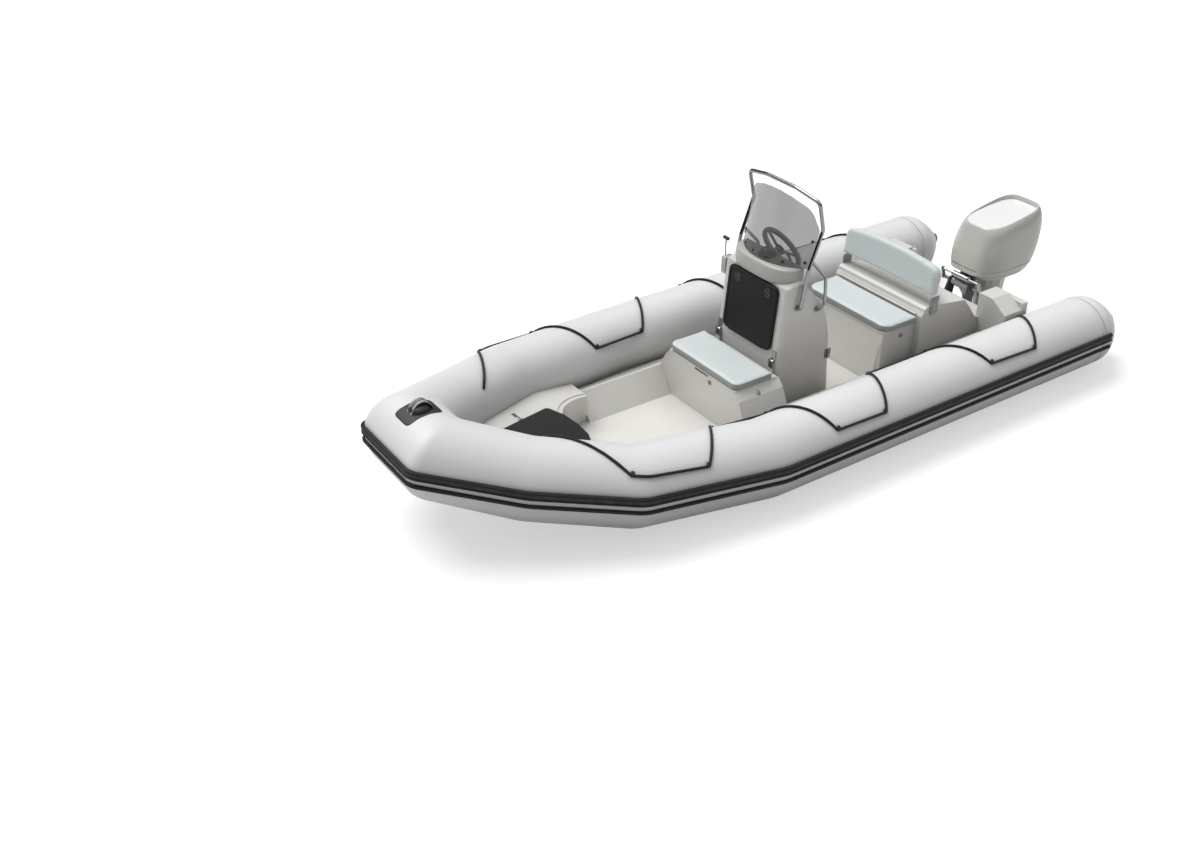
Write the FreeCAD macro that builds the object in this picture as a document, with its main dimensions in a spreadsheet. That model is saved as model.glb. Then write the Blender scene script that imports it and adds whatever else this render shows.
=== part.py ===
import FreeCAD, Part
import Sketcher
import math
import os
import re
from FreeCAD import Placement, Rotation, Vector

# Rigid inflatable boat with a centre console, an aft bench and one outboard motor.
# Frame: +X to the bow, +Y to port, +Z up. The origin is on the centreline, at the water, amidships.

os.makedirs("parts", exist_ok=True)
doc = FreeCAD.newDocument("InflatableBoat")
sheet = doc.addObject("Spreadsheet::Sheet", "Dimensions")

# Driving dimensions in millimetres, each with its alias, value and meaning. Angles are in degrees.
drivingDimensions = [
    ("seat_gap", 0.3, "clearance between pieces that seat on one another"),
    ("cut_overrun", 20, "how far a cutting tool runs past the faces it cuts"),
    # Collar
    ("beam_over_tubes", 2440, "greatest width, over the inflated collar"),
    ("tube_diameter", 544, "diameter of the collar"),
    ("tube_axis_height", 290, "collar's axis above the water, aft and amidships"),
    ("tube_aft_x", -2580, "seam between collar and stern cones"),
    ("tube_knee_x", 658, "where the collar starts to turn in"),
    ("tube_bow_x", 2688, "axis of the collar's athwart length at the bow"),
    ("tube_bow_rise", 340, "rise of the collar's axis at the bow"),
    ("cone_length", 320, "length of a stern cone"),
    ("cone_end_radius", 62, "radius of a stern cone at its cap"),
    ("cap_length", 62, "length of a cone's cap past the cone"),
    ("cap_lip", 22, "how far a cap reaches back over its cone"),
    ("cap_wall", 6, "thickness of a cap's rubber"),
    # Rubbing strakes
    ("strake_depth", 24, "how far the strakes stand off the collar"),
    ("strake_upper_low", 25, "lower edge of the wide strake above the collar's axis"),
    ("strake_upper_width", 60, "width of the wide strake"),
    ("strake_lower_low", -36, "lower edge of the narrow strake above the collar's axis"),
    ("strake_lower_width", 38, "width of the narrow strake"),
    ("strake_wrap", 20, "how far the strakes run on past the seam, round the cones"),
    # Lifelines
    ("rope_diameter", 11, "diameter of the lifelines"),
    ("rope_clearance", 1.5, "how far the lifelines lie off the collar"),
    ("stud_radius", 8, "radius of the studs that hold the lifelines"),
    ("stud_cap_radius", 15, "radius of the studs' caps"),
    ("stud_cap_height", 4, "thickness of the studs' caps"),
    # Hull
    ("transom_x", -2180, "aft face of the transom"),
    ("stem_x", 2660, "foremost point of the hull"),
    ("keel_depth", 260, "keel below the water, aft"),
    ("stem_rise", 612, "rise of the keel line up the stem"),
    ("chine_height", 10, "chines above the water, aft"),
    ("chine_rise", 346, "rise of the chines to the stem"),
    ("chine_flat", 46, "width of the flat along each chine"),
    ("spray_rail_depth", 14, "depth of the spray rails under the hull"),
    # Deck
    ("floor_height", 90, "cockpit floor above the water"),
    ("liner_thickness", 12, "thickness of the moulded liner's floor"),
    ("coaming_height", 278, "coamings' top edge above the water"),
    ("coaming_rim", 14, "width of the flat on top of each coaming"),
    ("locker_aft_x", 1190, "aft wall of the bow locker, at its sides"),
    ("locker_rise", 12, "bow locker's aft edge above the collar's axis"),
    ("locker_fore_gap", 130, "bow locker's fore end behind the axis at the bow"),
    ("locker_lip_width", 34, "width of the lowered lip round the locker's recess"),
    ("locker_lip_depth", 7, "depth of that lip"),
    ("recess_radius", 383, "radius of the recess in the locker's aft wall"),
    ("well_aft_gap", 440, "locker's well forward of its aft wall"),
    ("well_length", 300, "length of the locker's well"),
    ("well_half_width", 150, "half width of the locker's well"),
    ("well_floor_rise", 100, "bottom of the locker's well above the cockpit floor"),
    ("fore_hatch_gap", 330, "forward hatch's aft point forward of the locker's aft wall"),
    ("fore_hatch_length", 550, "length of the forward hatch"),
    ("fore_hatch_half_width", 285, "half width of the forward hatch"),
    ("fore_hatch_thickness", 14, "thickness of the forward hatch"),
    ("fore_hatch_corner", 28, "radius of the forward hatch's corners"),
    ("fore_knuckle_radius", 7, "radius of the forward hatch's hinge knuckle"),
    # Transom and aft moulding
    ("transom_thickness", 62, "thickness of the transom"),
    ("transom_cut_height", 330, "height of the motor's cut-out in the transom"),
    ("cut_out_half_width", 330, "half width of that cut-out at its foot"),
    ("cut_out_splay", 130, "how much wider the cut-out is at each side of its top"),
    ("side_block_height", 560, "top of the transom at its sides"),
    ("roll_crest", 648, "crest of the moulding behind the bench"),
    ("aft_moulding_margin", 20, "aft moulding's half width past the bench cushion's"),
    ("corner_block_x", -1926, "fore face of the aft corner blocks"),
    ("corner_block_height", 598, "top of the aft corner blocks, inboard"),
    ("corner_block_drop", 91, "how far the blocks' top falls to the collar"),
    # Bench
    ("bench_front_x", -925, "front edge of the bench cushion"),
    ("bench_aft_x", -1270, "aft edge of the bench cushion"),
    ("bench_half_width", 450, "half width of the bench cushion"),
    ("bench_top", 579, "top of the bench cushion"),
    ("bench_corner", 95, "radius of the bench cushion's front corners"),
    ("bench_base_inset", 35, "bench base's sides inside the cushion's"),
    ("bench_overhang", 20, "cushion's front past the bench base's top"),
    ("bench_toe", 45, "how much further forward the bench base's foot is than its top"),
    ("bench_wall", 25, "thickness of the bench base's walls"),
    ("bench_flute_radius", 38, "radius of the flutes down the bench base's front corners"),
    ("board_thickness", 10, "thickness of the boards under the seat cushions"),
    ("board_inset", 14, "how far the boards' edges lie inside the cushions'"),
    ("bench_strip", 3, "thickness of the strip behind the bench cushion that carries its hinge"),
    ("bench_knuckle_radius", 6, "radius of the bench lid's hinge knuckle"),
    ("bench_knuckle_rise", 9, "that knuckle's axis above the bench cushion"),
    ("cushion_thickness", 55, "thickness of the seat cushions without their boards"),
    ("bench_gap", 4, "gap between the bench and the moulding behind it"),
    # Backrest
    ("backrest_front_x", -1336, "front face of the backrest at its foot"),
    ("backrest_low", 735, "lower edge of the backrest"),
    ("backrest_side_height", 228, "height of the backrest at its sides"),
    ("backrest_crown", 26, "how much higher the backrest is in its middle"),
    ("backrest_half_width", 498, "half width of the backrest"),
    ("backrest_thickness", 62, "thickness of the backrest"),
    ("backrest_corner", 80, "radius of the backrest's upper corners"),
    ("backrest_low_corner", 24, "radius of the backrest's lower corners"),
    ("backrest_rake", 8, "rake of the backrest from upright"),
    ("bracket_thickness", 8, "thickness of the backrest's bracket plates"),
    ("bracket_length", 150, "length of a bracket's foot along the aft moulding"),
    ("bracket_front_x", -1300, "front edge of the brackets' feet"),
    ("bracket_foot_z", 560, "lower edge of the brackets"),
    # Front seat
    ("seat_front_x", 464, "front edge of the front seat cushion"),
    ("seat_aft_x", 110, "aft edge of the front seat cushion"),
    ("seat_half_width", 402, "half width of the front seat cushion"),
    ("seat_top", 515, "top of the front seat cushion"),
    ("seat_corner", 66, "radius of the front seat cushion's front corners"),
    ("seat_base_overhang", 14, "cushion's front past the seat base's"),
    ("seat_base_flare", 30, "how far the seat base's sides stand out past the cushion"),
    ("seat_base_inset", 22, "seat base's top edge inside the cushion's side"),
    ("seat_flare_drop", 55, "height over which the seat base's sides flare out"),
    ("seat_base_wall", 45, "thickness of the seat base's walls"),
    ("seat_notch_width", 150, "width of the finger notch in the seat base's front"),
    ("seat_notch_depth", 20, "depth and height of that notch"),
    # Console
    ("console_front_x", 46, "foot of the console's front face"),
    ("console_length", 551, "length of the console at its foot"),
    ("console_height", 1015, "top of the console's front face above the floor"),
    ("console_lean", 54, "how far the top of the front face stands behind its foot"),
    ("console_half_width", 341, "half width of the console"),
    ("console_wall", 8, "thickness of the console's moulding"),
    ("console_shoulder", 260, "radius of the console's curved back"),
    ("console_edge_radius", 34, "radius of the edges round the console's sides"),
    ("console_hatch_half_width", 268, "half width of the console's hatch"),
    ("console_hatch_sill", 85, "hatch's lower edge above the front seat"),
    ("console_hatch_top_gap", 14, "hatch's upper edge below the top of the face"),
    ("console_hatch_thickness", 16, "thickness of the console's hatch"),
    ("console_hatch_corner", 50, "corner radius of the console's hatch"),
    ("hatch_rebate", 40, "how much smaller than its hatch an opening is, each side"),
    ("console_knuckle_radius", 6, "radius of the console hatch's hinge knuckle"),
    ("console_knuckle_half_length", 190, "half length of that knuckle"),
    # Instrument pod, compass and wheel
    ("pod_half_width", 318, "half width of the instrument pod"),
    ("pod_height", 119, "height of the pod above the console's front edge"),
    ("pod_front_x", 20, "front of the pod"),
    ("pod_length", 190, "length of the pod"),
    ("pod_edge_radius", 22, "radius of the pod's front and end edges"),
    ("compass_radius", 57, "radius of the compass"),
    ("compass_rise", 40, "centre of the compass above the pod"),
    ("compass_aft", 119, "centre of the compass behind the pod's front"),
    ("wheel_x", -236, "centre of the steering wheel"),
    ("wheel_rise", 135, "centre of the wheel above the console's front edge"),
    ("wheel_tilt", 63, "tilt of the wheel's axis from upright, leaning aft"),
    ("wheel_radius", 168, "radius of the wheel's rim at its middle"),
    ("wheel_rim_radius", 19, "radius of the rim's section"),
    ("wheel_dish", 22, "how far the wheel's hub lies behind its rim"),
    ("wheel_hub_radius", 36, "radius of the wheel's hub"),
    ("wheel_hub_height", 26, "height of the wheel's hub"),
    ("wheel_spoke_radius", 10, "radius of the wheel's spokes"),
    ("column_radius", 24, "radius of the helm column"),
    ("column_length", 92, "length of the helm column"),
    # Screen and its rail
    ("rail_diameter", 28, "diameter of the screen rail's tube"),
    ("grab_diameter", 24, "diameter of the grab rails' tube"),
    ("rail_half_width", 370, "half spacing of the rail's legs"),
    ("rail_foot_x", -112, "foot of the rail's legs"),
    ("rail_foot_drop", 165, "rail's foot below the console's front edge"),
    ("rail_height", 776, "height of the rail's corners above its foot"),
    ("rail_reach", 154, "how far aft the rail leans from its foot"),
    ("rail_crown", 45, "how much higher the rail is in its middle"),
    ("rail_bend", 45, "bend radius of the rail's tube"),
    ("rail_foot_bend", 20, "bend radius where the rail's feet turn in"),
    ("flange_radius", 24, "radius of the rail's flanges"),
    ("flange_height", 6, "thickness of the rail's flanges"),
    ("screen_thickness", 5, "thickness of the windscreen"),
    ("screen_height", 495, "height of the windscreen above the pod"),
    ("screen_low_radius", 431, "radius of the windscreen's curve at its foot"),
    ("screen_high_radius", 563, "radius of the windscreen's curve at its top"),
    ("screen_foot_x", -12, "front of the windscreen's foot"),
    ("screen_lean", 124, "how far the windscreen's top stands behind its foot"),
    ("screen_half_width", 360, "half width of the windscreen where it is widest"),
    ("screen_corner", 130, "radius that rounds the windscreen's outline"),
    ("stand_off_radius", 9, "radius of the rail's upper stand-offs"),
    ("stand_off_drop", 15, "stand-offs below the console's front edge"),
    # Seat hinges, controls and bow fittings
    ("hinge_width", 46, "width of the front seat's hinges"),
    ("hinge_half_spacing", 303, "half spacing of the front seat's hinges"),
    ("hinge_leaf", 4, "thickness of a hinge's leaf"),
    ("hinge_leaf_height", 76, "height of a hinge's fixed leaf"),
    ("hinge_rise", 36, "hinge's axis above the front seat"),
    ("hinge_knuckle_radius", 7, "radius of a hinge's knuckle"),
    ("control_box_length", 86, "length of the remote control's box"),
    ("control_box_height", 132, "height of the remote control's box"),
    ("control_box_depth", 55, "how far the box stands off the console"),
    ("control_box_edge", 12, "radius of the box's edges"),
    ("control_box_drop", 146, "box's foot below the console's front edge"),
    ("control_lever_length", 180, "length of the control's lever"),
    ("control_lever_radius", 8, "radius of the control's lever"),
    ("control_boss_radius", 20, "radius of the lever's boss"),
    ("control_boss_height", 20, "height of the lever's boss"),
    ("control_lever_rake", 4, "rake of the control's lever"),
    ("control_grip_length", 66, "length of the lever's grip"),
    ("control_grip_radius", 15, "radius of the lever's grip"),
    ("pad_half_width", 95, "half width of the bow pad"),
    ("pad_length", 310, "length of the bow pad"),
    ("pad_aft_gap", 150, "bow pad's aft edge behind the axis at the bow"),
    ("pad_thickness", 3, "thickness of the bow pad"),
    ("pad_dome_radius", 62, "radius of the dome under the bow handle"),
    ("pad_dome_rise", 34, "height of that dome above the collar"),
    ("handle_span", 168, "length of the bow handle"),
    ("handle_rise", 62, "height of the bow handle above the collar"),
    ("handle_width", 46, "width of the bow handle"),
    ("handle_thickness", 8, "thickness of the bow handle"),
    ("pad_reach", 90, "how far down the collar's sides the pad's block reaches"),
    ("eye_hole_radius", 9, "radius of the hole in each towing eye"),
    ("eye_plate_radius", 24, "outer radius of each towing eye"),
    ("eye_plate_thickness", 12, "thickness of each towing eye"),
    ("eye_foot_height", 60, "height of each towing eye's foot"),
    ("eye_foot_width", 44, "width of each towing eye's foot"),
    ("eye_foot_thickness", 5, "thickness of each towing eye's foot"),
    ("eye_stand_off", 32, "hole's centre off the surface that carries the eye"),
    ("bow_eye_height", 60, "bow eye's hole above the water"),
    ("stern_eye_height", 150, "stern eyes' holes above the water"),
    # Outboard motor
    ("tilt_axis_x", -2250, "tilt axis of the motor"),
    ("tilt_axis_z", 400, "tilt axis of the motor above the water"),
    ("steer_axis_aft", 102, "steering axis behind the tilt axis"),
    ("clamp_half_width", 105, "half spacing of the clamp bracket's cheeks"),
    ("clamp_plate", 18, "thickness of the clamp bracket's cheeks"),
    ("clamp_foot_z", 60, "foot of the clamp bracket"),
    ("clamp_web_height", 60, "height of the web between the cheeks"),
    ("tilt_tube_radius", 14, "radius of the tilt tube"),
    ("cheek_rim", 34, "cheeks' material round the tilt tube"),
    ("cheek_depth", 45, "depth of the cheeks' foot"),
    ("swivel_side_play", 11, "cross barrel's ends inside the cheeks"),
    ("swivel_barrel_radius", 34, "radius of the swivel bracket's cross barrel"),
    ("swivel_tube_radius", 42, "radius of the swivel bracket's upright barrel"),
    ("swivel_tube_drop", 290, "foot of the upright barrel below the tilt axis"),
    ("swivel_tube_height", 330, "height of the upright barrel"),
    ("swivel_web", 60, "thickness of the web between the barrels"),
    ("king_radius", 18, "radius of the steering shaft"),
    ("yoke_thickness", 38, "thickness of the arms on the steering shaft"),
    ("yoke_gap", 4, "gap between those arms and the upright barrel"),
    ("yoke_half_width", 75, "half width of the upper arm"),
    ("yoke_length", 155, "length of the upper arm, aft of the shaft"),
    ("yoke_front", 48, "how far the upper arm reaches forward of the shaft"),
    ("cylinder_radius", 24, "radius of the steering cylinder"),
    ("cylinder_length", 160, "length of the steering cylinder"),
    ("cylinder_rod_radius", 9, "radius of the steering cylinder's rod"),
    ("cylinder_rod_length", 400, "length of the rod between its arms"),
    ("cylinder_rise", 78, "steering cylinder above the tilt axis"),
    ("cylinder_fore", 26, "steering cylinder forward of the tilt axis"),
    ("cylinder_arm", 14, "thickness of the arms that carry the rod"),
    ("cowl_low", 515, "lower edge of the cowl"),
    ("cowl_height", 436, "height of the cowl at its middle"),
    ("cowl_front_x", -2232, "front of the cowl"),
    ("cowl_length", 704, "length of the cowl"),
    ("cowl_half_width", 241, "half width of the cowl"),
    ("leg_front_gap", 105, "front of the leg's top behind the steering axis"),
    ("leg_top_length", 330, "length of the leg's top"),
    ("leg_top_half_width", 140, "half width of the leg's top"),
    ("plate_rise", 195, "plate above the propeller shaft"),
    ("plate_thickness", 10, "thickness of the plate over the propeller"),
    ("plate_length", 400, "length of the plate over the propeller"),
    ("plate_half_width", 110, "half width of the plate over the propeller"),
    ("shaft_z", -520, "propeller shaft above the water"),
    ("gearcase_radius", 52, "radius of the gearcase"),
    ("gearcase_nose", 130, "length of the gearcase's nose"),
    ("gearcase_length", 215, "length of the gearcase behind its nose"),
    ("gearcase_aft_x", -2634.7, "aft end of the gearcase"),
    ("skeg_depth", 190, "skeg's foot below the propeller shaft"),
    ("skeg_thickness", 14, "thickness of the skeg"),
    ("propeller_radius", 165, "radius of the propeller"),
    ("propeller_hub_radius", 46, "radius of the propeller's hub"),
    ("propeller_hub_length", 108, "length of the propeller's hub"),
    ("propeller_pitch", 430, "advance of a blade's face in one turn"),
    ("propeller_blade_thickness", 9, "thickness of a blade at its root"),
    ("propeller_chord", 96, "chord of a blade where it is widest"),
]
for row, (alias, value, meaning) in enumerate(drivingDimensions, start=1):
    sheet.set(f"A{row}", alias)
    sheet.set(f"B{row}", str(value))
    sheet.setAlias(f"B{row}", alias)
    sheet.set(f"C{row}", meaning)
doc.recompute()

aliasPattern = re.compile(r"\b(" + "|".join(alias for alias, value, meaning in drivingDimensions) + r")\b")
alongX, alongY, alongZ = Vector(1, 0, 0), Vector(0, 1, 0), Vector(0, 0, 1)
tolerance = 1e-6
pieces = []


def sheetFormula(formula):
    return aliasPattern.sub(r"Dimensions.\1", formula)


def size(formula):
    result = sheet.evalExpression(sheetFormula(formula))
    return float(getattr(result, "Value", result))


def spot(x="0", y="0", z="0"):
    return Vector(size(x), size(y), size(z))


def bind(item, prop, formula):
    item.setExpression(prop, sheetFormula(formula))


def keep(item, name):
    """Names a finished sub-part and lists it for writing."""
    item.Label = name
    pieces.append(item)
    return item


def shaped(name, shape):
    item = doc.addObject("Part::Feature", name)
    item.Shape = shape
    return item


def place(item, x="0", y="0", z="0", axis=alongZ, angle="0"):
    item.Placement = Placement(spot(x, y, z), Rotation(axis, size(angle)))
    for letter, formula in zip("xyz", (x, y, z)):
        bind(item, f"Placement.Base.{letter}", formula)
    return item


def primitive(kind, name, **sizes):
    item = doc.addObject(f"Part::{kind}", name)
    for prop, formula in sizes.items():
        bind(item, prop, formula)
    return item


def joined(name, items):
    item = doc.addObject("Part::MultiFuse", name)
    item.Shapes = items
    item.Refine = True
    return item


def trimmed(name, base, tools):
    for index, tool in enumerate(tools):
        item = doc.addObject("Part::Cut", f"{name}_trim{index}")
        item.Base = base
        item.Tool = tool
        base = item
    return base


def overlapOf(name, base, tool):
    item = doc.addObject("Part::Common", name)
    item.Base = base
    item.Tool = tool
    return item


def newBody(name):
    return doc.addObject("PartDesign::Body", name)


def outline(body, name, role, corners, offset="0"):
    """A closed outline of straight edges on one of the body's own planes, each corner set by two formulas."""
    sketch = body.newObject("Sketcher::SketchObject", name)
    plane = next(item for item in body.Origin.OriginFeatures if item.Role == role)
    sketch.AttachmentSupport = [(plane, "")]
    sketch.MapMode = "FlatFace"
    bind(sketch, "AttachmentOffset.Base.z", offset)
    spots = [spot(across, up) for across, up in corners]
    count = len(spots)
    for index in range(count):
        sketch.addGeometry(Part.LineSegment(spots[index], spots[(index + 1) % count]))
    for index in range(count):
        sketch.addConstraint(Sketcher.Constraint("Coincident", index, 2, (index + 1) % count, 1))
    for index, formulas in enumerate(corners):
        for kind, formula, onAxis in (("DistanceX", formulas[0], -2), ("DistanceY", formulas[1], -1)):
            if formula == "0":
                sketch.addConstraint(Sketcher.Constraint("PointOnObject", index, 1, onAxis))
                continue
            number = sketch.addConstraint(Sketcher.Constraint(kind, -1, 1, index, 1, size(formula)))
            sketch.setExpression(f"Constraints[{number}]", sheetFormula(formula))
    return sketch


def shareCorners(shares, acrossStart, acrossSpan, upStart, upSpan):
    """Corner formulas for an outline given as shares of two spans."""
    return [(f"{acrossStart} + ({across}) * ({acrossSpan})", f"{upStart} + ({up}) * ({upSpan})")
            for across, up in shares]


def bothSides(corners):
    """Adds the starboard mirror image to the port half of an outline."""
    return corners + [(f"-({across})", up) for across, up in reversed(corners)]


def pad(body, sketch, length, symmetric=True, backwards=False):
    feature = body.newObject("PartDesign::Pad", sketch.Name + "Pad")
    feature.Profile = sketch
    bind(feature, "Length", length)
    feature.SideType = "Symmetric" if symmetric else "One side"
    feature.Reversed = backwards
    return feature


def pocket(body, sketch, length, symmetric=True, backwards=False):
    feature = body.newObject("PartDesign::Pocket", sketch.Name + "Pocket")
    feature.Profile = sketch
    bind(feature, "Length", length)
    feature.SideType = "Symmetric" if symmetric else "One side"
    feature.Reversed = backwards
    return feature


def roundEdges(body, base, radius, chosen):
    doc.recompute()
    names = [f"Edge{index + 1}" for index, edge in enumerate(base.Shape.Edges) if chosen(edge)]
    feature = body.newObject("PartDesign::Fillet", base.Name + "Round")
    feature.Base = (base, names)
    bind(feature, "Radius", radius)
    return feature


def slab(name, corners, thickness, offset):
    """A flat plate standing fore and aft: corners are formulas for X and Z, offset is that of its middle."""
    body = newBody(name)
    section = outline(body, name + "Outline", "XZ_Plane", corners, f"-({offset})")
    pad(body, section, thickness)
    return body


def bentTube(points, radius, bends):
    """A tube along straight runs with an arc in each corner; bends holds one radius for each corner."""
    edges, start = [], points[0]
    for before, corner, after, bend in zip(points, points[1:], points[2:], bends):
        inward, outward = (corner - before).normalize(), (after - corner).normalize()
        turn = inward.getAngle(outward)
        reach = bend * math.tan(turn / 2)
        crest = corner + (outward - inward).normalize() * (bend / math.cos(turn / 2) - bend)
        first, last = corner - inward * reach, corner + outward * reach
        edges += [Part.LineSegment(start, first).toShape(), Part.Arc(first, crest, last).toShape()]
        start = last
    edges.append(Part.LineSegment(start, points[-1]).toShape())
    ring = Part.Wire(Part.makeCircle(radius, points[0], points[1] - points[0]))
    return Part.Wire(edges).makePipeShell([ring], True, False)


def runsAlong(edge, axis):
    if len(edge.Vertexes) != 2 or edge.Curve.TypeId != "Part::GeomLine":
        return False
    return edge.Curve.Direction.cross(axis).Length < tolerance


def middle(edge):
    return edge.valueAt((edge.FirstParameter + edge.LastParameter) / 2)


# Widths that follow the spacing of the collar's two sides
spacing = "((beam_over_tubes - tube_diameter) / 2)"
floorShare, coamingShare, transomShare, chineShare = 0.362, 0.517, 0.76, 0.8
floorHalf, coamingHalf = f"({floorShare} * {spacing})", f"({coamingShare} * {spacing})"
transomHalf, chineHalf = f"({transomShare} * {spacing})", f"({chineShare} * {spacing})"

# Inflated collar, mitred at each bend. Shares run from the knee to the bow, over the spacing and over the rise;
# the length across the bow follows the tube's radius, so that its mitres clear one another
collarBendShares = [(0.478, 0.849, 0.2), (0.774, 0.525, 0.55)]
bowHalfShare = 0.68
tubeRadius = size("tube_diameter / 2")
axisSpacing = size(spacing)
axisHeight = size("tube_axis_height")
portAxis = [Vector(size("tube_aft_x"), axisSpacing, axisHeight),
            Vector(size("tube_knee_x"), axisSpacing, axisHeight)]
for along, across, rise in collarBendShares:
    bendX = size(f"tube_knee_x + {along} * (tube_bow_x - tube_knee_x)")
    portAxis.append(Vector(bendX, across * axisSpacing, axisHeight + rise * size("tube_bow_rise")))
portAxis.append(Vector(size("tube_bow_x"), bowHalfShare * tubeRadius, axisHeight + size("tube_bow_rise")))
wholeAxis = portAxis + [Vector(bend.x, -bend.y, bend.z) for bend in reversed(portAxis)]


def collarSolid(radius):
    ring = Part.Wire(Part.makeCircle(radius, wholeAxis[0], alongX))
    return Part.makePolygon(wholeAxis).makePipeShell([ring], True, False, 1)


def coneSolid(side, gap):
    seam = Vector(size("tube_aft_x"), side * axisSpacing, axisHeight)
    return Part.makeCone(tubeRadius + gap, size("cone_end_radius") + gap, size("cone_length"), seam, -alongX)


collarSeatShape = collarSolid(size("tube_diameter / 2 + seat_gap"))
collarSeat = shaped("collar_seat", collarSeatShape)
keep(shaped("Collar", collarSolid(tubeRadius)), "tube_collar")

# Stern cones and their caps
for sideName, side in (("port", ""), ("starboard", "-")):
    cone = primitive("Cone", f"Cone_{sideName}", Radius1="tube_diameter / 2", Radius2="cone_end_radius",
                     Height="cone_length")
    place(cone, "tube_aft_x", f"{side}{spacing}", "tube_axis_height", alongY, "-90")
    keep(cone, f"stern_cone_{sideName}")
    body = newBody(f"Cap_{sideName}")
    mouth = "cone_end_radius + seat_gap + cap_lip * (tube_diameter / 2 - cone_end_radius) / cone_length"
    section = outline(body, f"CapSection_{sideName}", "XZ_Plane", [
        ("cap_lip", mouth), ("cap_lip", mouth + " + cap_wall"),
        ("-seat_gap", "cone_end_radius + seat_gap + cap_wall"),
        ("-0.6 * cap_length", "0.72 * cone_end_radius"), ("-cap_length", "0.3 * cone_end_radius"),
        ("-cap_length", "0"), ("-seat_gap", "0"), ("-seat_gap", "cone_end_radius + seat_gap"),
    ])
    turned = body.newObject("PartDesign::Revolution", f"CapTurned_{sideName}")
    turned.Profile = section
    turned.ReferenceAxis = (section, ["H_Axis"])
    place(body, "tube_aft_x - cone_length", f"{side}{spacing}", "tube_axis_height")
    keep(body, f"cone_cap_{sideName}")


# Rubbing strakes: ruled through an upright section at each bend and one past each stern seam
def planOffset(index, outward):
    normals = []
    for start, end in zip(wholeAxis[max(index - 1, 0):index + 1], wholeAxis[max(index, 1):index + 2]):
        run = Vector(end.x - start.x, end.y - start.y, 0).normalize()
        normals.append(Vector(-run.y, run.x, 0))
    mean = sum(normals[1:], normals[0]).normalize()
    return mean * (outward / mean.dot(normals[0]))


strakeShares = [(-1.0, 0.0), (0.7, 0.0), (1.0, 0.14), (1.0, 0.38), (0.7, 0.5), (1.0, 0.62), (1.0, 0.86),
                (0.7, 1.0),
                (-1.0, 1.0)]


def strakeSolid(low, width):
    depth, wrap = size("strake_depth"), size("strake_wrap")
    taper = size("(tube_diameter / 2 - cone_end_radius) / cone_length")
    last = len(wholeAxis) - 1
    stations = [(0, wrap)] + [(index, 0) for index in range(last + 1)] + [(last, wrap)]
    sections = []
    for index, past in stations:
        base = wholeAxis[index] - alongX * past
        corners = []
        for out, up in strakeShares:
            side = planOffset(index, tubeRadius + out * depth - taper * past)
            corners.append(base + side + alongZ * (low + up * width))
        sections.append(Part.makePolygon(corners + corners[:1]))
    strake = Part.makeLoft(sections, True, True)
    gap = size("seat_gap")
    return strake.cut(collarSeatShape).cut(coneSolid(1, gap)).cut(coneSolid(-1, gap))


for level in ("upper", "lower"):
    strake = strakeSolid(size(f"strake_{level}_low"), size(f"strake_{level}_width"))
    keep(shaped(f"Strake_{level}", strake), f"strake_{level}")


# Rigid V hull, ruled through stations from the transom to the stem. Shares: along, keel rise, chine half width,
# chine rise, then half width and rise of the top edge, which lies inside the collar and is trimmed by it
hullShares = [
    (0.0, 0.0, 1.0, 0.0, 1.053, 0.197), (0.32, 0.0, 1.0, 0.012, 1.053, 0.197),
    (0.6, 0.04, 0.967, 0.06, 1.04, 0.2),
    (0.775, 0.18, 0.79, 0.235, 0.909, 0.327), (0.893, 0.44, 0.526, 0.58, 0.553, 0.632),
    (0.975, 0.86, 0.13, 0.95, 0.21, 0.98), (1.0, 1.0, 0.03, 1.0, 0.04, 1.017),
]
sprayRailShares = (0.67, 0.34)


def hullStation(along, keelRise, chineShare, chineRise, topShare, topRise):
    x = size(f"transom_x + {along} * (stem_x - transom_x)")
    halfWidth, base, rise = size(chineHalf), size("chine_height"), size("chine_rise")
    keel = Vector(x, 0, size(f"-keel_depth + {keelRise} * stem_rise"))
    chine = Vector(x, halfWidth * chineShare, base + rise * chineRise)
    inner = chine - alongY * size("chine_flat") * chineShare
    half = [Vector(x, halfWidth * topShare, base + rise * topRise), chine, inner]
    drop = size("spray_rail_depth") * chineShare
    for share in sprayRailShares:
        root = keel + (inner - keel) * share
        half += [root, root + (keel - inner).normalize() * drop - alongZ * drop]
    points = half + [keel] + [Vector(point.x, -point.y, point.z) for point in reversed(half)]
    return Part.makePolygon(points + points[:1])


hullRaw = shaped("HullRaw", Part.makeLoft([hullStation(*row) for row in hullShares], True, True))

# Moulded liner: a flat floor, sloping coamings and shelves that fall away to the collar
linerCorners = [
    (floorHalf, "floor_height"), (coamingHalf, "coaming_height"),
    (f"{coamingHalf} + coaming_rim", "coaming_height"),
    ("beam_over_tubes / 2 - 0.9465 * tube_diameter", "tube_axis_height - 0.1965 * tube_diameter"),
    ("beam_over_tubes / 2 - 0.809 * tube_diameter", "floor_height - liner_thickness"),
]
body = newBody("LinerBody")
section = outline(body, "LinerSection", "YZ_Plane", bothSides(linerCorners), "transom_x + transom_thickness")
pad(body, section, "locker_aft_x - transom_x - transom_thickness", symmetric=False)
linerBody = body
keep(trimmed("Liner", linerBody, [collarSeat]), "deck_liner")

# Bow locker: a wedge out to under the tubes with a rounded recess aft, a lowered lip and a well under its hatch
lockerSlopeShare, insideShare = 0.18, 0.38


def lockerTop(x):
    return f"(tube_axis_height + locker_rise + {lockerSlopeShare} * (({x}) - locker_aft_x))"


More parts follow.
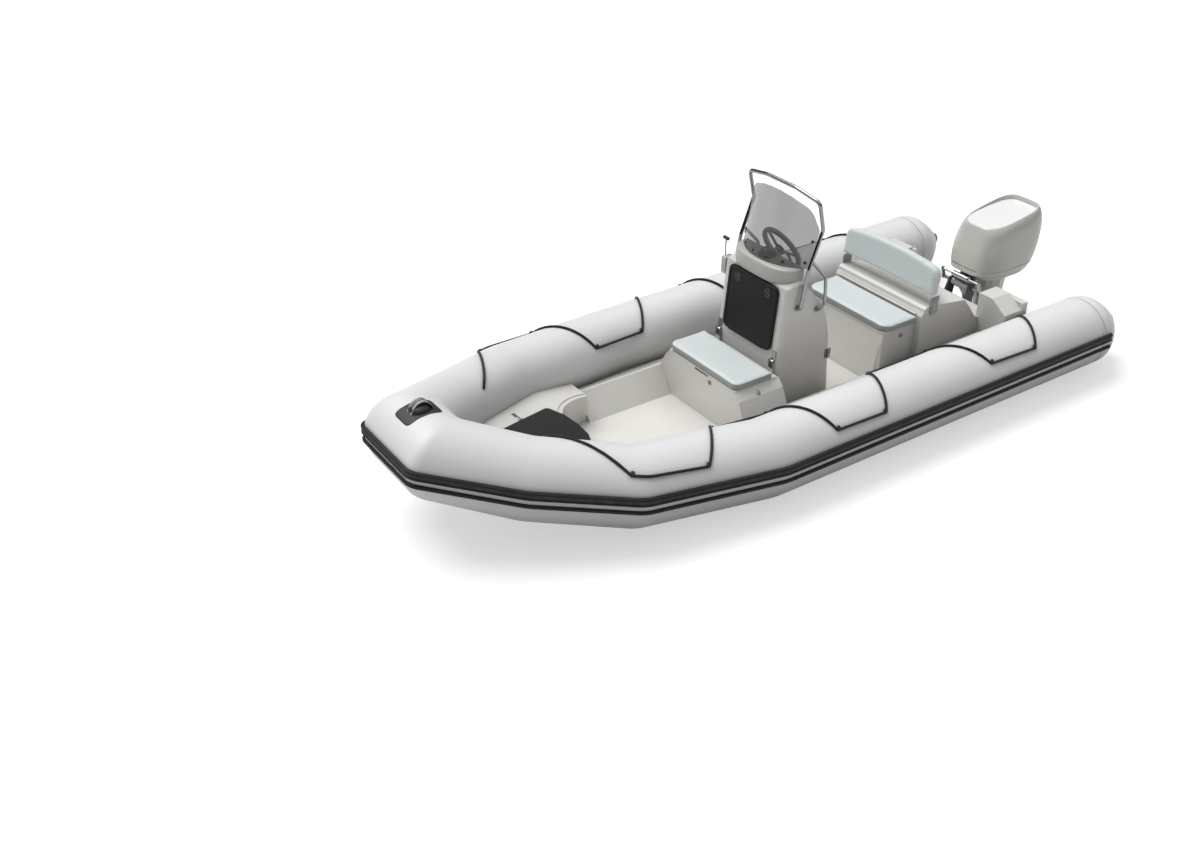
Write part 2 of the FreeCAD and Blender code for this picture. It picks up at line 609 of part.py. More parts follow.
lockerFore = "tube_bow_x - locker_fore_gap"
under = "floor_height - liner_thickness"
body = newBody("LockerWedge")
section = outline(body, "LockerSide", "XZ_Plane", [
    ("locker_aft_x", under), ("locker_aft_x", lockerTop("locker_aft_x")), (lockerFore, lockerTop(lockerFore)),
    (lockerFore, "floor_height + 0.7 * tube_bow_rise"), ("locker_aft_x + well_aft_gap", under),
])
pad(body, section, "beam_over_tubes")
lockerWedge = body
insidePlan = [Vector(bend.x, bend.y, 0) + planOffset(index, -insideShare * tubeRadius)
              for index, bend in enumerate(wholeAxis)]
inside = shaped("LockerInside", Part.Face(Part.makePolygon(insidePlan + insidePlan[:1])).extrude(
    alongZ * size("console_height")))
lockerBody = trimmed("LockerFitted", overlapOf("LockerBetween", body, inside), [collarSeat])

slopeAngle = f"{-math.degrees(math.atan(lockerSlopeShare))}"
recess = primitive("Cylinder", "LockerRecess", Radius="recess_radius", Height="console_height")
place(recess, "locker_aft_x", "0", "floor_height")
lipRing = primitive("Cylinder", "LockerLip", Radius="recess_radius + locker_lip_width",
                    Height="console_height")
place(lipRing, "locker_aft_x", "0", "floor_height")
lipLevel = primitive("Box", "LockerLipLevel", Length="stem_x", Width="beam_over_tubes",
                     Height="console_height")
place(lipLevel, "0", "-beam_over_tubes / 2", lockerTop("0") + " - locker_lip_depth", alongY, slopeAngle)
lip = overlapOf("LockerLipCut", lipRing, lipLevel)
well = primitive("Box", "LockerWell", Length="well_length", Width="2 * well_half_width",
                 Height="console_height")
place(well, "locker_aft_x + well_aft_gap", "-well_half_width", "floor_height + well_floor_rise")
locker = keep(trimmed("Locker", lockerBody, [recess, lip, well]), "bow_locker")

foreHatchShares = [(0.136, 1.0), (1.0, 0.35), (1.0, -0.35), (0.136, -1.0), (0.027, -0.53), (0.0, 0.0),
                   (0.027, 0.53)]
body = newBody("ForeHatchBody")
section = outline(body, "ForeHatchPlan", "XY_Plane", shareCorners(
    foreHatchShares, "0", "fore_hatch_length", "0", "fore_hatch_half_width"))
plate = pad(body, section, "fore_hatch_thickness", symmetric=False)
roundEdges(body, plate, "fore_hatch_corner", lambda edge: runsAlong(edge, alongZ)
           and abs(middle(edge).y) > size("0.3 * fore_hatch_half_width"))
foreHatchX = "locker_aft_x + fore_hatch_gap"
knuckle = primitive("Cylinder", "ForeKnuckle", Radius="fore_knuckle_radius",
                    Height="0.5 * fore_hatch_half_width")
place(knuckle, "fore_hatch_length", "0.25 * fore_hatch_half_width", "fore_hatch_thickness", alongX, "90")
foreHatch = joined("ForeHatch", [body, knuckle])
place(foreHatch, foreHatchX, "0", lockerTop(foreHatchX) + " + seat_gap", alongY, slopeAngle)
keep(foreHatch, "bow_hatch")

# Hull, cut to make room for the collar, the cockpit and what is moulded over it
cockpit = primitive("Box", "CockpitSpace", Length="locker_aft_x - transom_x", Width=f"2 * {transomHalf}",
                    Height="console_height")
place(cockpit, "transom_x", f"-{transomHalf}", under)
hullFitted = trimmed("HullFitted", hullRaw, [collarSeat, cockpit, linerBody, lockerWedge])
doc.recompute()
keep(shaped("Hull", max(hullFitted.Shape.Solids, key=lambda solid: solid.Volume)), "hull")

# Transom, cut down for the motor
body = newBody("TransomBody")
section = outline(body, "TransomFace", "YZ_Plane", bothSides([
    (transomHalf, under), (transomHalf, "side_block_height"),
    ("cut_out_half_width + cut_out_splay", "side_block_height"), ("cut_out_half_width", "transom_cut_height"),
]), "transom_x")
pad(body, section, "transom_thickness - seat_gap", symmetric=False)
keep(trimmed("Transom", body, [collarSeat]), "transom_board")

# Aft moulding: the roll behind the bench, the slope down to the motor well and a block in each aft corner
rollShares = [(0.0, 0.0), (0.0, 0.876), (0.026, 0.938), (0.031, 0.978), (0.062, 1.0), (0.149, 0.993),
              (0.546, 0.91),
              (0.623, 0.785), (0.724, 0.582), (0.88, 0.448), (1.0, 0.43), (1.0, 0.0)]
rollStart = "bench_aft_x - bench_gap"
body = newBody("AftBody")
section = outline(body, "AftSide", "XZ_Plane", shareCorners(
    rollShares, rollStart, f"transom_x + transom_thickness - ({rollStart})", "floor_height",
    "roll_crest - floor_height"))
pad(body, section, "2 * (bench_half_width + aft_moulding_margin)")
shelfShare = 0.48
blockShelf = f"(bench_half_width + {shelfShare} * ({transomHalf} - bench_half_width))"
for side in ("", "-"):
    section = outline(body, "PortBlock" if side == "" else "StarboardBlock", "YZ_Plane", [
        (f"{side}{transomHalf}", "floor_height"),
        (f"{side}{transomHalf}", "corner_block_height - corner_block_drop"),
        (f"{side}{blockShelf}", "corner_block_height"),
        (f"{side}(bench_half_width)", "corner_block_height"), (f"{side}(bench_half_width)", "floor_height"),
    ], "corner_block_x")
    pad(body, section, "corner_block_x - transom_x - transom_thickness", symmetric=False, backwards=True)
keep(trimmed("AftMoulding", body, [linerBody, collarSeat]), "aft_moulding")

# Bench base with its locker, fluted down its front corners
benchBack, benchFace = "bench_aft_x - bench_gap + seat_gap", "bench_front_x - bench_overhang"
benchHalf = "(bench_half_width - bench_base_inset)"
benchRim = "bench_top - cushion_thickness - board_thickness - seat_gap"
body = newBody("BenchBody")
section = outline(body, "BenchSide", "XZ_Plane", [
    (benchBack, "floor_height"), (benchBack, benchRim), (benchFace, benchRim),
    (f"{benchFace} + bench_toe", "floor_height")])
pad(body, section, f"2 * {benchHalf}")
space = outline(body, "BenchLocker", "XY_Plane", [
    (f"{benchBack} + bench_wall", f"-({benchHalf} - bench_wall)"),
    (f"{benchFace} - bench_wall", f"-({benchHalf} - bench_wall)"),
    (f"{benchFace} - bench_wall", f"{benchHalf} - bench_wall"),
    (f"{benchBack} + bench_wall", f"{benchHalf} - bench_wall"),
], "floor_height + bench_wall")
pocket(body, space, "bench_top", symmetric=False, backwards=True)
flutes = []
for sideName, side in (("port", ""), ("starboard", "-")):
    flute = primitive("Cylinder", f"BenchFlute_{sideName}", Radius="bench_flute_radius", Height="bench_top")
    place(flute, f"{benchFace} + bench_toe", f"{side}{benchHalf}", "floor_height - cut_overrun")
    flutes.append(flute)
keep(trimmed("BenchBase", body, [linerBody] + flutes), "bench_base")

# Seat cushions, with rounded front corners
for seat in ("seat", "bench"):
    front, aft, half, top = (f"{seat}_{word}" for word in ("front_x", "aft_x", "half_width", "top"))
    body = newBody(f"{seat}_cushion_body")
    section = outline(body, f"{seat}_cushion_plan", "XY_Plane", [
        (aft, f"-{half}"), (front, f"-{half}"), (front, half), (aft, half)], f"{top} - cushion_thickness")
    block = pad(body, section, "cushion_thickness", symmetric=False)
    roundEdges(body, block, f"{seat}_corner",
               lambda edge: runsAlong(edge, alongZ) and middle(edge).x > size(front) - size("seat_gap"))
    keep(body, {"seat": "front_cushion", "bench": "bench_cushion"}[seat])

# Board under the bench cushion, with a strip up behind it that carries the lid's hinge
benchBoardHalf = "(bench_half_width - bench_base_inset)"
body = newBody("BenchBoardBody")
section = outline(body, "BenchBoardSide", "XZ_Plane", [
    ("bench_front_x - board_inset", "bench_top - cushion_thickness - board_thickness"),
    ("bench_front_x - board_inset", "bench_top - cushion_thickness - seat_gap"),
    ("bench_aft_x - seat_gap", "bench_top - cushion_thickness - seat_gap"),
    ("bench_aft_x - seat_gap", "bench_top + bench_knuckle_rise"),
    ("bench_aft_x - seat_gap - bench_strip", "bench_top + bench_knuckle_rise"),
    ("bench_aft_x - seat_gap - bench_strip", "bench_top - cushion_thickness - board_thickness")])
pad(body, section, f"2 * {benchBoardHalf}")
knuckle = primitive("Cylinder", "BenchKnuckle", Radius="bench_knuckle_radius", Height=f"2 * {benchBoardHalf}")
place(knuckle, "bench_aft_x - bench_strip / 2", benchBoardHalf, "bench_top + bench_knuckle_rise", alongX,
      "90")
keep(joined("BenchBoard", [body, knuckle]), "bench_board")

# Front seat base: its sides flare out on to the coamings, and its front has a finger notch
seatRim = "seat_top - cushion_thickness - board_thickness - seat_gap"
seatHalf, seatFace = "(seat_half_width - seat_base_inset)", "seat_front_x - seat_base_overhang"
body = newBody("SeatBody")
section = outline(body, "SeatSection", "YZ_Plane", bothSides([
    (floorHalf, "floor_height + seat_gap"), (coamingHalf, "coaming_height + seat_gap"),
    ("seat_half_width + seat_base_flare", f"{seatRim} - seat_flare_drop"), (seatHalf, seatRim),
]), "console_front_x + seat_gap")
pad(body, section, f"{seatFace} - console_front_x", symmetric=False)
space = outline(body, "SeatLocker", "XY_Plane", [
    ("seat_aft_x", f"-({seatHalf} - seat_base_wall)"),
    (f"{seatFace} - seat_base_wall", f"-({seatHalf} - seat_base_wall)"),
    (f"{seatFace} - seat_base_wall", f"{seatHalf} - seat_base_wall"),
    ("seat_aft_x", f"{seatHalf} - seat_base_wall"),
], "floor_height + seat_base_wall")
pocket(body, space, "seat_top", symmetric=False, backwards=True)
notch = outline(body, "SeatNotch", "YZ_Plane", bothSides([
    ("seat_notch_width / 2", f"{seatRim} - seat_notch_depth"), ("seat_notch_width / 2", "seat_top"),
]), f"{seatFace} - seat_notch_depth")
pocket(body, notch, "seat_notch_depth + cut_overrun", symmetric=False, backwards=True)
keep(trimmed("SeatBase", body, [linerBody]), "seat_base")

# Console: a hollow moulding with a curved back and rounded edges, open in front behind its hatch
consoleTop = "(floor_height + console_height)"
crest = ("console_front_x - 0.3376 * console_length", "floor_height + 1.0394 * console_height")
consoleSide = [
    ("console_front_x", "floor_height"), ("console_front_x", "seat_top"),
    ("console_front_x - console_lean", consoleTop),
    crest, ("console_front_x - 0.79 * console_length", "floor_height + 0.783 * console_height"),
    ("console_front_x - 0.92 * console_length", "floor_height + 0.541 * console_height"),
    ("console_front_x - console_length", "floor_height"),
]
# How far each of those corners moves in for the hollow, as shares of the wall along X and Z
coreShares = [(-1.0, -1.0), (-1.0, 0.0), (-1.0, -1.0), (0.2, -1.3), (1.3, -1.0), (1.2, -0.5), (1.0, -1.0)]
coreSide = [(f"{x} + {along} * console_wall", f"{z} + {up} * console_wall")
            for (x, z), (along, up) in zip(consoleSide, coreShares)]


def consoleForm(name, corners, half, edgeRadius):
    body = newBody(name)
    block = pad(body, outline(body, name + "Side", "XZ_Plane", corners), f"2 * ({half})")
    lowest, highest = size("floor_height + 0.4 * console_height"), size("floor_height + 0.9 * console_height")
    aftHalf = size("console_front_x - console_length / 2")
    curved = roundEdges(body, block, "console_shoulder", lambda edge: runsAlong(edge, alongY)
                        and lowest < middle(edge).z < highest and middle(edge).x < aftHalf)
    foot = size("floor_height + seat_gap")
    roundEdges(body, curved, edgeRadius, lambda edge: middle(edge).z > foot and not runsAlong(edge, alongY))
    return body


console = consoleForm("Console", consoleSide, "console_half_width", "console_edge_radius")
core = consoleForm("ConsoleCore", coreSide, "console_half_width - console_wall",
                   "console_edge_radius - console_wall")
lean = "atan(console_lean / (floor_height + console_height - seat_top))"
sill = "(seat_top + console_hatch_sill)"
hatchRun = f"(({consoleTop} - console_hatch_top_gap - {sill}) / cos({lean}))"
faceX = f"console_front_x - console_hatch_sill * tan({lean})"
body = newBody("ConsoleOpening")
section = outline(body, "ConsoleOpeningFace", "YZ_Plane", bothSides([
    ("console_hatch_half_width - hatch_rebate", "hatch_rebate"),
    ("console_hatch_half_width - hatch_rebate", f"{hatchRun} - hatch_rebate")]))
pad(body, section, "2 * console_lean")
place(body, faceX, "0", sill, alongY, f"-{lean}")
keep(trimmed("ConsoleShell", console, [core, body, linerBody]), "console_shell")

# Hatch on the console's leaning face, hinged along its foot
body = newBody("ConsoleHatchBody")
section = outline(body, "ConsoleHatchFace", "YZ_Plane", bothSides([
    ("console_hatch_half_width", "0"), ("console_hatch_half_width", hatchRun)]), "seat_gap")
plate = pad(body, section, "console_hatch_thickness", symmetric=False)
roundEdges(body, plate, "console_hatch_corner", lambda edge: runsAlong(edge, alongX))
place(body, faceX, "0", sill, alongY, f"-{lean}")
knuckle = primitive("Cylinder", "ConsoleKnuckle", Radius="console_knuckle_radius",
                    Height="2 * console_knuckle_half_length")
place(knuckle, f"{faceX} + (seat_gap + console_hatch_thickness) * cos({lean})", "console_knuckle_half_length",
      f"{sill} + (seat_gap + console_hatch_thickness) * sin({lean})", alongX, "90")
keep(joined("ConsoleHatch", [body, knuckle]), "console_hatch")

# Instrument pod on the console's top, with a compass
podTop = f"{consoleTop} + pod_height"
body = newBody("PodBody")
section = outline(body, "PodSide", "XZ_Plane", [
    ("pod_front_x - pod_length", f"{crest[1]} + seat_gap"), (crest[0], f"{crest[1]} + seat_gap"),
    ("console_front_x - console_lean", f"{consoleTop} + seat_gap"),
    ("pod_front_x", f"{consoleTop} + seat_gap"),
    ("pod_front_x", podTop), ("pod_front_x - pod_length", podTop)])
block = pad(body, section, "2 * pod_half_width")
podFront, podMiddle = size("pod_front_x - pod_edge_radius"), size(f"{consoleTop} + pod_height / 4")
podEnd, podAft = size("pod_half_width - pod_edge_radius"), size("pod_front_x - pod_length + pod_edge_radius")
roundEdges(body, block, "pod_edge_radius", lambda edge: middle(edge).z > podMiddle and middle(edge).x > podAft
           and (middle(edge).x > podFront or abs(middle(edge).y) > podEnd))
pod = keep(body, "instrument_pod")
ball = primitive("Sphere", "CompassBall", Radius="compass_radius")
place(ball, "pod_front_x - compass_aft", "0", f"{podTop} + compass_rise")
above = primitive("Box", "CompassSpace", Length="2 * compass_radius", Width="2 * compass_radius",
                  Height="2 * compass_radius")
place(above, "pod_front_x - compass_aft - compass_radius", "-compass_radius", f"{podTop} + seat_gap")
keep(overlapOf("Compass", ball, above), "compass")

# Steering wheel and its column, their axis leaning aft
wheelX, wheelZ = "wheel_x", f"{consoleTop} + wheel_rise"
members = [primitive("Torus", "WheelRim", Radius1="wheel_radius", Radius2="wheel_rim_radius"),
           primitive("Cylinder", "WheelHub", Radius="wheel_hub_radius", Height="wheel_hub_height")]
place(members[1], "0", "0", "-wheel_dish - wheel_hub_height / 2")
for spoke in range(3):
    bar = primitive("Cylinder", f"WheelSpoke{spoke}", Radius="wheel_spoke_radius", Height="wheel_radius")
    laid = Rotation(alongY, 90 - size("atan(wheel_dish / wheel_radius)"))
    bar.Placement = Placement(spot(z="-wheel_dish"), Rotation(alongZ, 90 + spoke * 360 / 3) * laid)
    members.append(bar)
wheel = joined("Wheel", members)
place(wheel, wheelX, "0", wheelZ, alongY, "-wheel_tilt")
keep(wheel, "steering_wheel")
column = primitive("Cylinder", "Column", Radius="column_radius", Height="column_length")
behind = "(wheel_dish + wheel_hub_height / 2 + seat_gap + column_length)"
place(column, f"{wheelX} + {behind} * sin(wheel_tilt)", "0", f"{wheelZ} - {behind} * cos(wheel_tilt)",
      alongY, "-wheel_tilt")
podSeat = primitive("Box", "ColumnStop", Length="pod_length + seat_gap", Width="2 * pod_half_width",
                    Height="2 * pod_height")
place(podSeat, "pod_front_x - pod_length - seat_gap", "-pod_half_width", consoleTop)
keep(trimmed("HelmColumn", column, [podSeat]), "helm_column")

# Rail round the screen, standing on the console's sides. Shares: how far it leans aft, and its height
railShares = [(0.0, 0.0), (0.344, 0.374), (1.0, 0.728), (0.662, 1.0)]
railSide = [spot(f"rail_foot_x - {reach} * rail_reach", "rail_half_width",
                 f"{consoleTop} - rail_foot_drop + {rise} * rail_height") for reach, rise in railShares]
railFoot = Vector(railSide[0].x, size("console_half_width + seat_gap"), railSide[0].z)
railCrown = spot("rail_foot_x - rail_reach / 2", "0.4 * rail_half_width",
                 f"{consoleTop} - rail_foot_drop + rail_height + rail_crown")
halfRail = [railFoot] + railSide + [railCrown]
railPath = halfRail + [Vector(point.x, -point.y, point.z) for point in reversed(halfRail)]
railBends = [size(name) for name in ("rail_foot_bend",) + 4 * ("rail_bend",)]


def railTube(radius):
    return bentTube(railPath, radius, railBends + railBends[::-1])


rail = railTube(size("rail_diameter / 2"))
for side in (1, -1):
    outward = alongY * side
    foot = Vector(railFoot.x, side * railFoot.y, railFoot.z)
    rail = rail.fuse(Part.makeCylinder(size("flange_radius"), size("flange_height"), foot, outward))
    steady = spot("rail_foot_x - 0.3 * rail_reach", "0", f"{consoleTop} - stand_off_drop")
    rail = rail.fuse(Part.makeCylinder(size("stand_off_radius"), railSide[0].y - railFoot.y,
                                       Vector(steady.x, foot.y, steady.z), outward))
keep(shaped("ScreenRail", rail), "screen_rail")

# Grab rails from the screen rail's legs down to the console's sides
railSeat = railTube(size("rail_diameter / 2 + seat_gap"))
grabShares = [(0.485, 0.45), (1.448, 0.245), (1.532, -0.014), (1.22, -0.081)]
for name, side in (("grab_rail", 1), ("grab_rail_starboard", -1)):
    path = [spot(f"rail_foot_x - {reach} * rail_reach", f"{side} * rail_half_width",
                 f"{consoleTop} - rail_foot_drop + {rise} * rail_height") for reach, rise in grabShares]
    foot = Vector(path[-1].x, side * railFoot.y, path[-1].z)
    grab = bentTube(path + [foot], size("grab_diameter / 2"),
                    [size("rail_bend")] * 2 + [size("rail_foot_bend")])
    grab = grab.cut(railSeat)
    grab = grab.fuse(Part.makeCylinder(size("flange_radius"), size("flange_height"), foot, alongY * side))
    keep(shaped(name + "_tube", grab), name)


# Windscreen: a curved, leaning sheet on the pod, cut to an arched outline. Shares of its half width and height
screenShares = [(0.93, 0.0), (1.0, 0.56), (0.87, 0.79), (0.74, 0.88), (0.42, 0.965), (0.14, 1.0)]


def screenArc(radius, frontX, z):
    half = size("1.1 * screen_half_width")
    sideX = frontX - radius + math.sqrt(radius * radius - half * half)
    return Part.Arc(Vector(sideX, -half, z), Vector(frontX, 0, z), Vector(sideX, half, z)).toShape()


screenLow, screenHigh = size(podTop) + size("seat_gap"), size(f"{podTop} + screen_height")
rings = []
for radius, frontX, z in ((size("screen_low_radius"), size("screen_foot_x"), screenLow),
                          (size("screen_high_radius"), size("screen_foot_x - screen_lean"), screenHigh)):
    outer = screenArc(radius, frontX, z)
    inner = screenArc(radius - size("screen_thickness"), frontX - size("screen_thickness"), z)
    ends = [Part.LineSegment(outer.Vertexes[end].Point, inner.Vertexes[end].Point).toShape() for end in (0,
                                                                                                         1)]
    rings.append(Part.Wire([outer, ends[1], inner, ends[0]]))
bentSheet = shaped("BentSheet", Part.makeLoft(rings, True, True))
body = newBody("ScreenOutline")
section = outline(body, "ScreenFace", "YZ_Plane", bothSides(shareCorners(
    screenShares, "0", "screen_half_width", podTop, "screen_height")))
block = pad(body, section, "2 * (screen_low_radius + screen_high_radius)")
roundEdges(body, block, "screen_corner",
           lambda edge: runsAlong(edge, alongX) and middle(edge).z > screenLow)
keep(overlapOf("Windscreen", bentSheet, body), "windscreen")

# Backrest: a raked pad with an arched top, on a bracket plate at each side
body = newBody("BackrestBody")
section = outline(body, "BackrestFace", "YZ_Plane", bothSides([
    ("backrest_half_width", "0"), ("backrest_half_width", "backrest_side_height"),
    ("0.66 * backrest_half_width", "backrest_side_height + 0.66 * backrest_crown"),
    ("0.3 * backrest_half_width", "backrest_side_height + backrest_crown")]))
block = pad(body, section, "backrest_thickness", symmetric=False, backwards=True)
sideHeight, sideEdge = size("backrest_side_height"), size("backrest_half_width - seat_gap")
for radius, low in (("backrest_corner", False), ("backrest_low_corner", True)):
    block = roundEdges(body, block, radius, lambda edge: runsAlong(edge, alongX)
                       and abs(middle(edge).y) > sideEdge and (middle(edge).z < sideHeight / 2) == low)
place(body, "backrest_front_x", "0", "backrest_low", alongY, "-backrest_rake")
keep(body, "backrest")


def underBack(x):
    return f"backrest_low - (backrest_front_x - ({x})) * tan(backrest_rake) - seat_gap"


bracketAft = "backrest_front_x - 0.95 * backrest_thickness"
for sideName, side in (("port", ""), ("starboard", "-")):
    body = slab(f"Bracket_{sideName}", [
        ("bracket_front_x", "bracket_foot_z"), ("bracket_front_x - bracket_length", "bracket_foot_z"),
        ("bracket_front_x - bracket_length", "roll_crest"), (bracketAft, underBack(bracketAft)),
        ("backrest_front_x", underBack("backrest_front_x")), ("bracket_front_x", "roll_crest"),
    ], "bracket_thickness", f"{side}(bench_half_width + aft_moulding_margin + seat_gap + bracket_thickness / 2)")
    keep(body, f"backrest_bracket_{sideName}")

# Hinges of the front seat, on the console's leaning face
hingeZ = "(seat_top + hinge_rise)"
hingeX = f"(console_front_x - hinge_rise * tan({lean}) + seat_gap + hinge_leaf + 1.6 * hinge_knuckle_radius)"
for sideName, side in (("port", ""), ("starboard", "-")):
    leaf = primitive("Box", f"HingeLeaf_{sideName}", Length="hinge_leaf", Width="hinge_width",
                     Height="hinge_leaf_height")
    place(leaf, f"console_front_x - hinge_rise * tan({lean}) + seat_gap",
          f"{side}hinge_half_spacing - hinge_width / 2",
          hingeZ, alongY, f"-{lean}")
    arm = primitive("Box", f"HingeArm_{sideName}", Length="1.6 * hinge_knuckle_radius + hinge_leaf / 2",
                    Width="hinge_width / 3", Height="1.6 * hinge_knuckle_radius")
    place(arm, f"console_front_x - hinge_rise * tan({lean}) + seat_gap + hinge_leaf / 2",
          f"{side}hinge_half_spacing - hinge_width / 6",
          f"{hingeZ} - 0.6 * hinge_knuckle_radius", alongY, f"-{lean}")
    barrel = primitive("Cylinder", f"HingeBarrel_{sideName}", Radius="hinge_knuckle_radius",
                       Height="hinge_width / 3")
    place(barrel, hingeX, f"{side}hinge_half_spacing + hinge_width / 6", hingeZ, alongX, "90")
    keep(joined(f"Hinge_{sideName}", [leaf, arm, barrel]), f"seat_hinge_{sideName}")

# Board under the front cushion, with an arm up to each hinge that carries the outer parts of its knuckle
body = newBody("FrontBoardBody")
seatBoardZ = "seat_top - cushion_thickness - board_thickness"
section = outline(body, "FrontBoardPlan", "XY_Plane", [
    ("console_front_x + board_inset", "-(seat_half_width - seat_base_inset)"),
    ("seat_front_x - board_inset", "-(seat_half_width - seat_base_inset)"),
    ("seat_front_x - board_inset", "seat_half_width - seat_base_inset"),
    ("console_front_x + board_inset", "seat_half_width - seat_base_inset")], seatBoardZ)
pad(body, section, "board_thickness - seat_gap", symmetric=False)
members = [body]
for sideName, side in (("port", ""), ("starboard", "-")):
    arm = primitive("Box", f"BoardArm_{sideName}", Length="hinge_leaf", Width="hinge_width",
                    Height=f"{hingeZ} - ({seatBoardZ})")
    place(arm, hingeX, f"{side}hinge_half_spacing - hinge_width / 2", seatBoardZ)
    knuckle = primitive("Cylinder", f"BoardKnuckle_{sideName}", Radius="hinge_knuckle_radius",
                        Height="hinge_width")
    place(knuckle, hingeX, f"{side}hinge_half_spacing + hinge_width / 2", hingeZ, alongX, "90")
    gap = primitive("Box", f"BoardGap_{sideName}", Length="4 * hinge_knuckle_radius",
                    Width="hinge_width / 3 + 2 * seat_gap",
                    Height="4 * hinge_knuckle_radius")
    place(gap, f"{hingeX} - 2 * hinge_knuckle_radius",
          f"{side}hinge_half_spacing - hinge_width / 6 - seat_gap",
          f"{hingeZ} - 2 * hinge_knuckle_radius")
    members.append(trimmed(f"BoardHinge_{sideName}", joined(f"BoardHingeForm_{sideName}", [arm, knuckle]),
                           [gap]))
keep(joined("FrontBoard", members), "front_seat_board")

# Bow pad round the collar's athwart length, with a domed boss under an arched handle
padMiddle = "(tube_bow_x - pad_aft_gap + pad_length / 2)"
padTilt = f"asin(({padMiddle} - tube_bow_x) / (tube_diameter / 2))"


def onBow(lift):
    """Formulas for a point over the pad's middle, the given height off the collar."""
    reach = f"(tube_diameter / 2 + ({lift}))"
    return (f"tube_bow_x + {reach} * sin({padTilt})", "0",
            f"tube_axis_height + tube_bow_rise + {reach} * cos({padTilt})")


padShell = shaped("PadShell", collarSolid(size("tube_diameter / 2 + seat_gap + pad_thickness")))
padBlock = primitive("Box", "PadBlock", Length="pad_length", Width="2 * pad_half_width",
                     Height="tube_diameter")
place(padBlock, "tube_bow_x - pad_aft_gap", "-pad_half_width",
      "tube_axis_height + tube_bow_rise + tube_diameter / 2 - pad_reach")
dome = primitive("Sphere", "PadDome", Radius="(pad_dome_radius ^ 2 + pad_dome_rise ^ 2) / (2 * pad_dome_rise)")
place(dome, *onBow("pad_dome_rise - (pad_dome_radius ^ 2 + pad_dome_rise ^ 2) / (2 * pad_dome_rise)"))
padForm = joined("PadForm", [overlapOf("PadPatch", padShell, padBlock), dome])
keep(trimmed("BowPad", padForm, [collarSeat]), "bow_pad")

archShares = [(-0.5, -0.3), (-0.47, 0.55), (-0.36, 0.88), (-0.18, 1.0), (0.18, 1.0), (0.36, 0.88),
              (0.47, 0.55), (0.5, -0.3)]
outer = [(f"({across}) * handle_span", f"({up}) * handle_rise") for across, up in archShares]
inner = [(f"({across}) * (handle_span - 2 * handle_thickness)", f"({up}) * (handle_rise - handle_thickness)")
         for across, up in reversed(archShares)]
body = slab("Handle", outer + inner, "handle_width", "0")
place(body, *onBow("pad_thickness + 2 * seat_gap"), alongY, padTilt)
keep(trimmed("BowHandle", body, [shaped("PadSeat",
                                        collarSolid(size("tube_diameter / 2 + pad_thickness + 2 * seat_gap")))]),
     "bow_handle")

# Remote control box on the console's starboard side, with its lever
body = newBody("ControlBody")
section = outline(body, "ControlSide", "XZ_Plane", [
    ("console_front_x - console_lean - control_box_length", f"{consoleTop} - control_box_drop"),
    ("console_front_x - console_lean", f"{consoleTop} - control_box_drop"),
    ("console_front_x - console_lean", f"{consoleTop} - control_box_drop + control_box_height"),
    ("console_front_x - console_lean - control_box_length",
     f"{consoleTop} - control_box_drop + control_box_height"),
], "console_half_width + seat_gap")
block = pad(body, section, "control_box_depth", symmetric=False)
boxFace = -size("console_half_width + seat_gap + control_box_depth")
roundEdges(body, block, "control_box_edge",
           lambda edge: middle(edge).y < boxFace + size("control_box_depth") * 0.9)
keep(body, "control_box")
leverX, leverZ = "(console_front_x - console_lean - control_box_length / 2)", f"({consoleTop} - control_box_drop / 2)"
boxOut = "(console_half_width + control_box_depth + 2 * seat_gap)"
boss = primitive("Cylinder", "LeverBoss", Radius="control_boss_radius", Height="control_boss_height")
place(boss, leverX, f"-{boxOut}", leverZ, alongX, "90")
arm = primitive("Cylinder", "LeverArm", Radius="control_lever_radius", Height="control_lever_length")
place(arm, leverX, f"-{boxOut} - control_boss_height / 2", leverZ, alongY, "-control_lever_rake")
grip = primitive("Cylinder", "LeverGrip", Radius="control_grip_radius", Height="control_grip_length")
place(grip, f"{leverX} - control_lever_length * sin(control_lever_rake)", f"-{boxOut} + control_grip_radius",
      f"{leverZ} + control_lever_length * cos(control_lever_rake)", alongX, "90")
keep(joined("ControlLever", [boss, arm, grip]), "control_lever")


# Towing eyes: one on the stem and two on the transom, each a drilled lug on a foot plate
def towingEye(name, x, y, z, turn, tools):
    """Builds the eye with its foot towards its own X, turns it and cuts it off at what carries it."""
    lug = primitive("Box", f"{name}_lug", Length="eye_stand_off + cut_overrun", Width="eye_plate_thickness",
                    Height="2 * eye_plate_radius")
    ring = primitive("Cylinder", f"{name}_ring", Radius="eye_plate_radius", Height="eye_plate_thickness")
    foot = primitive("Box", f"{name}_foot", Length="eye_foot_thickness + cut_overrun", Width="eye_foot_width",
                     Height="eye_foot_height")
    hole = primitive("Cylinder", f"{name}_hole", Radius="eye_hole_radius", Height="2 * eye_plate_thickness")
    centre = spot(x, y, z)
    for item, corner, extra in (
            (lug, spot("0", "-eye_plate_thickness / 2", "-eye_plate_radius"), Rotation()),
            (ring, spot("0", "eye_plate_thickness / 2", "0"), Rotation(alongX, 90)),
            (foot, spot("eye_stand_off - eye_foot_thickness", "-eye_foot_width / 2",
                        "-eye_foot_height / 2"), Rotation()),
            (hole, spot("0", "eye_plate_thickness", "0"), Rotation(alongX, 90))):
        item.Placement = Placement(centre + turn.multVec(corner), turn * extra)
    keep(trimmed(name, joined(f"{name}_form", [lug, ring, foot]), [hole] + tools), name)


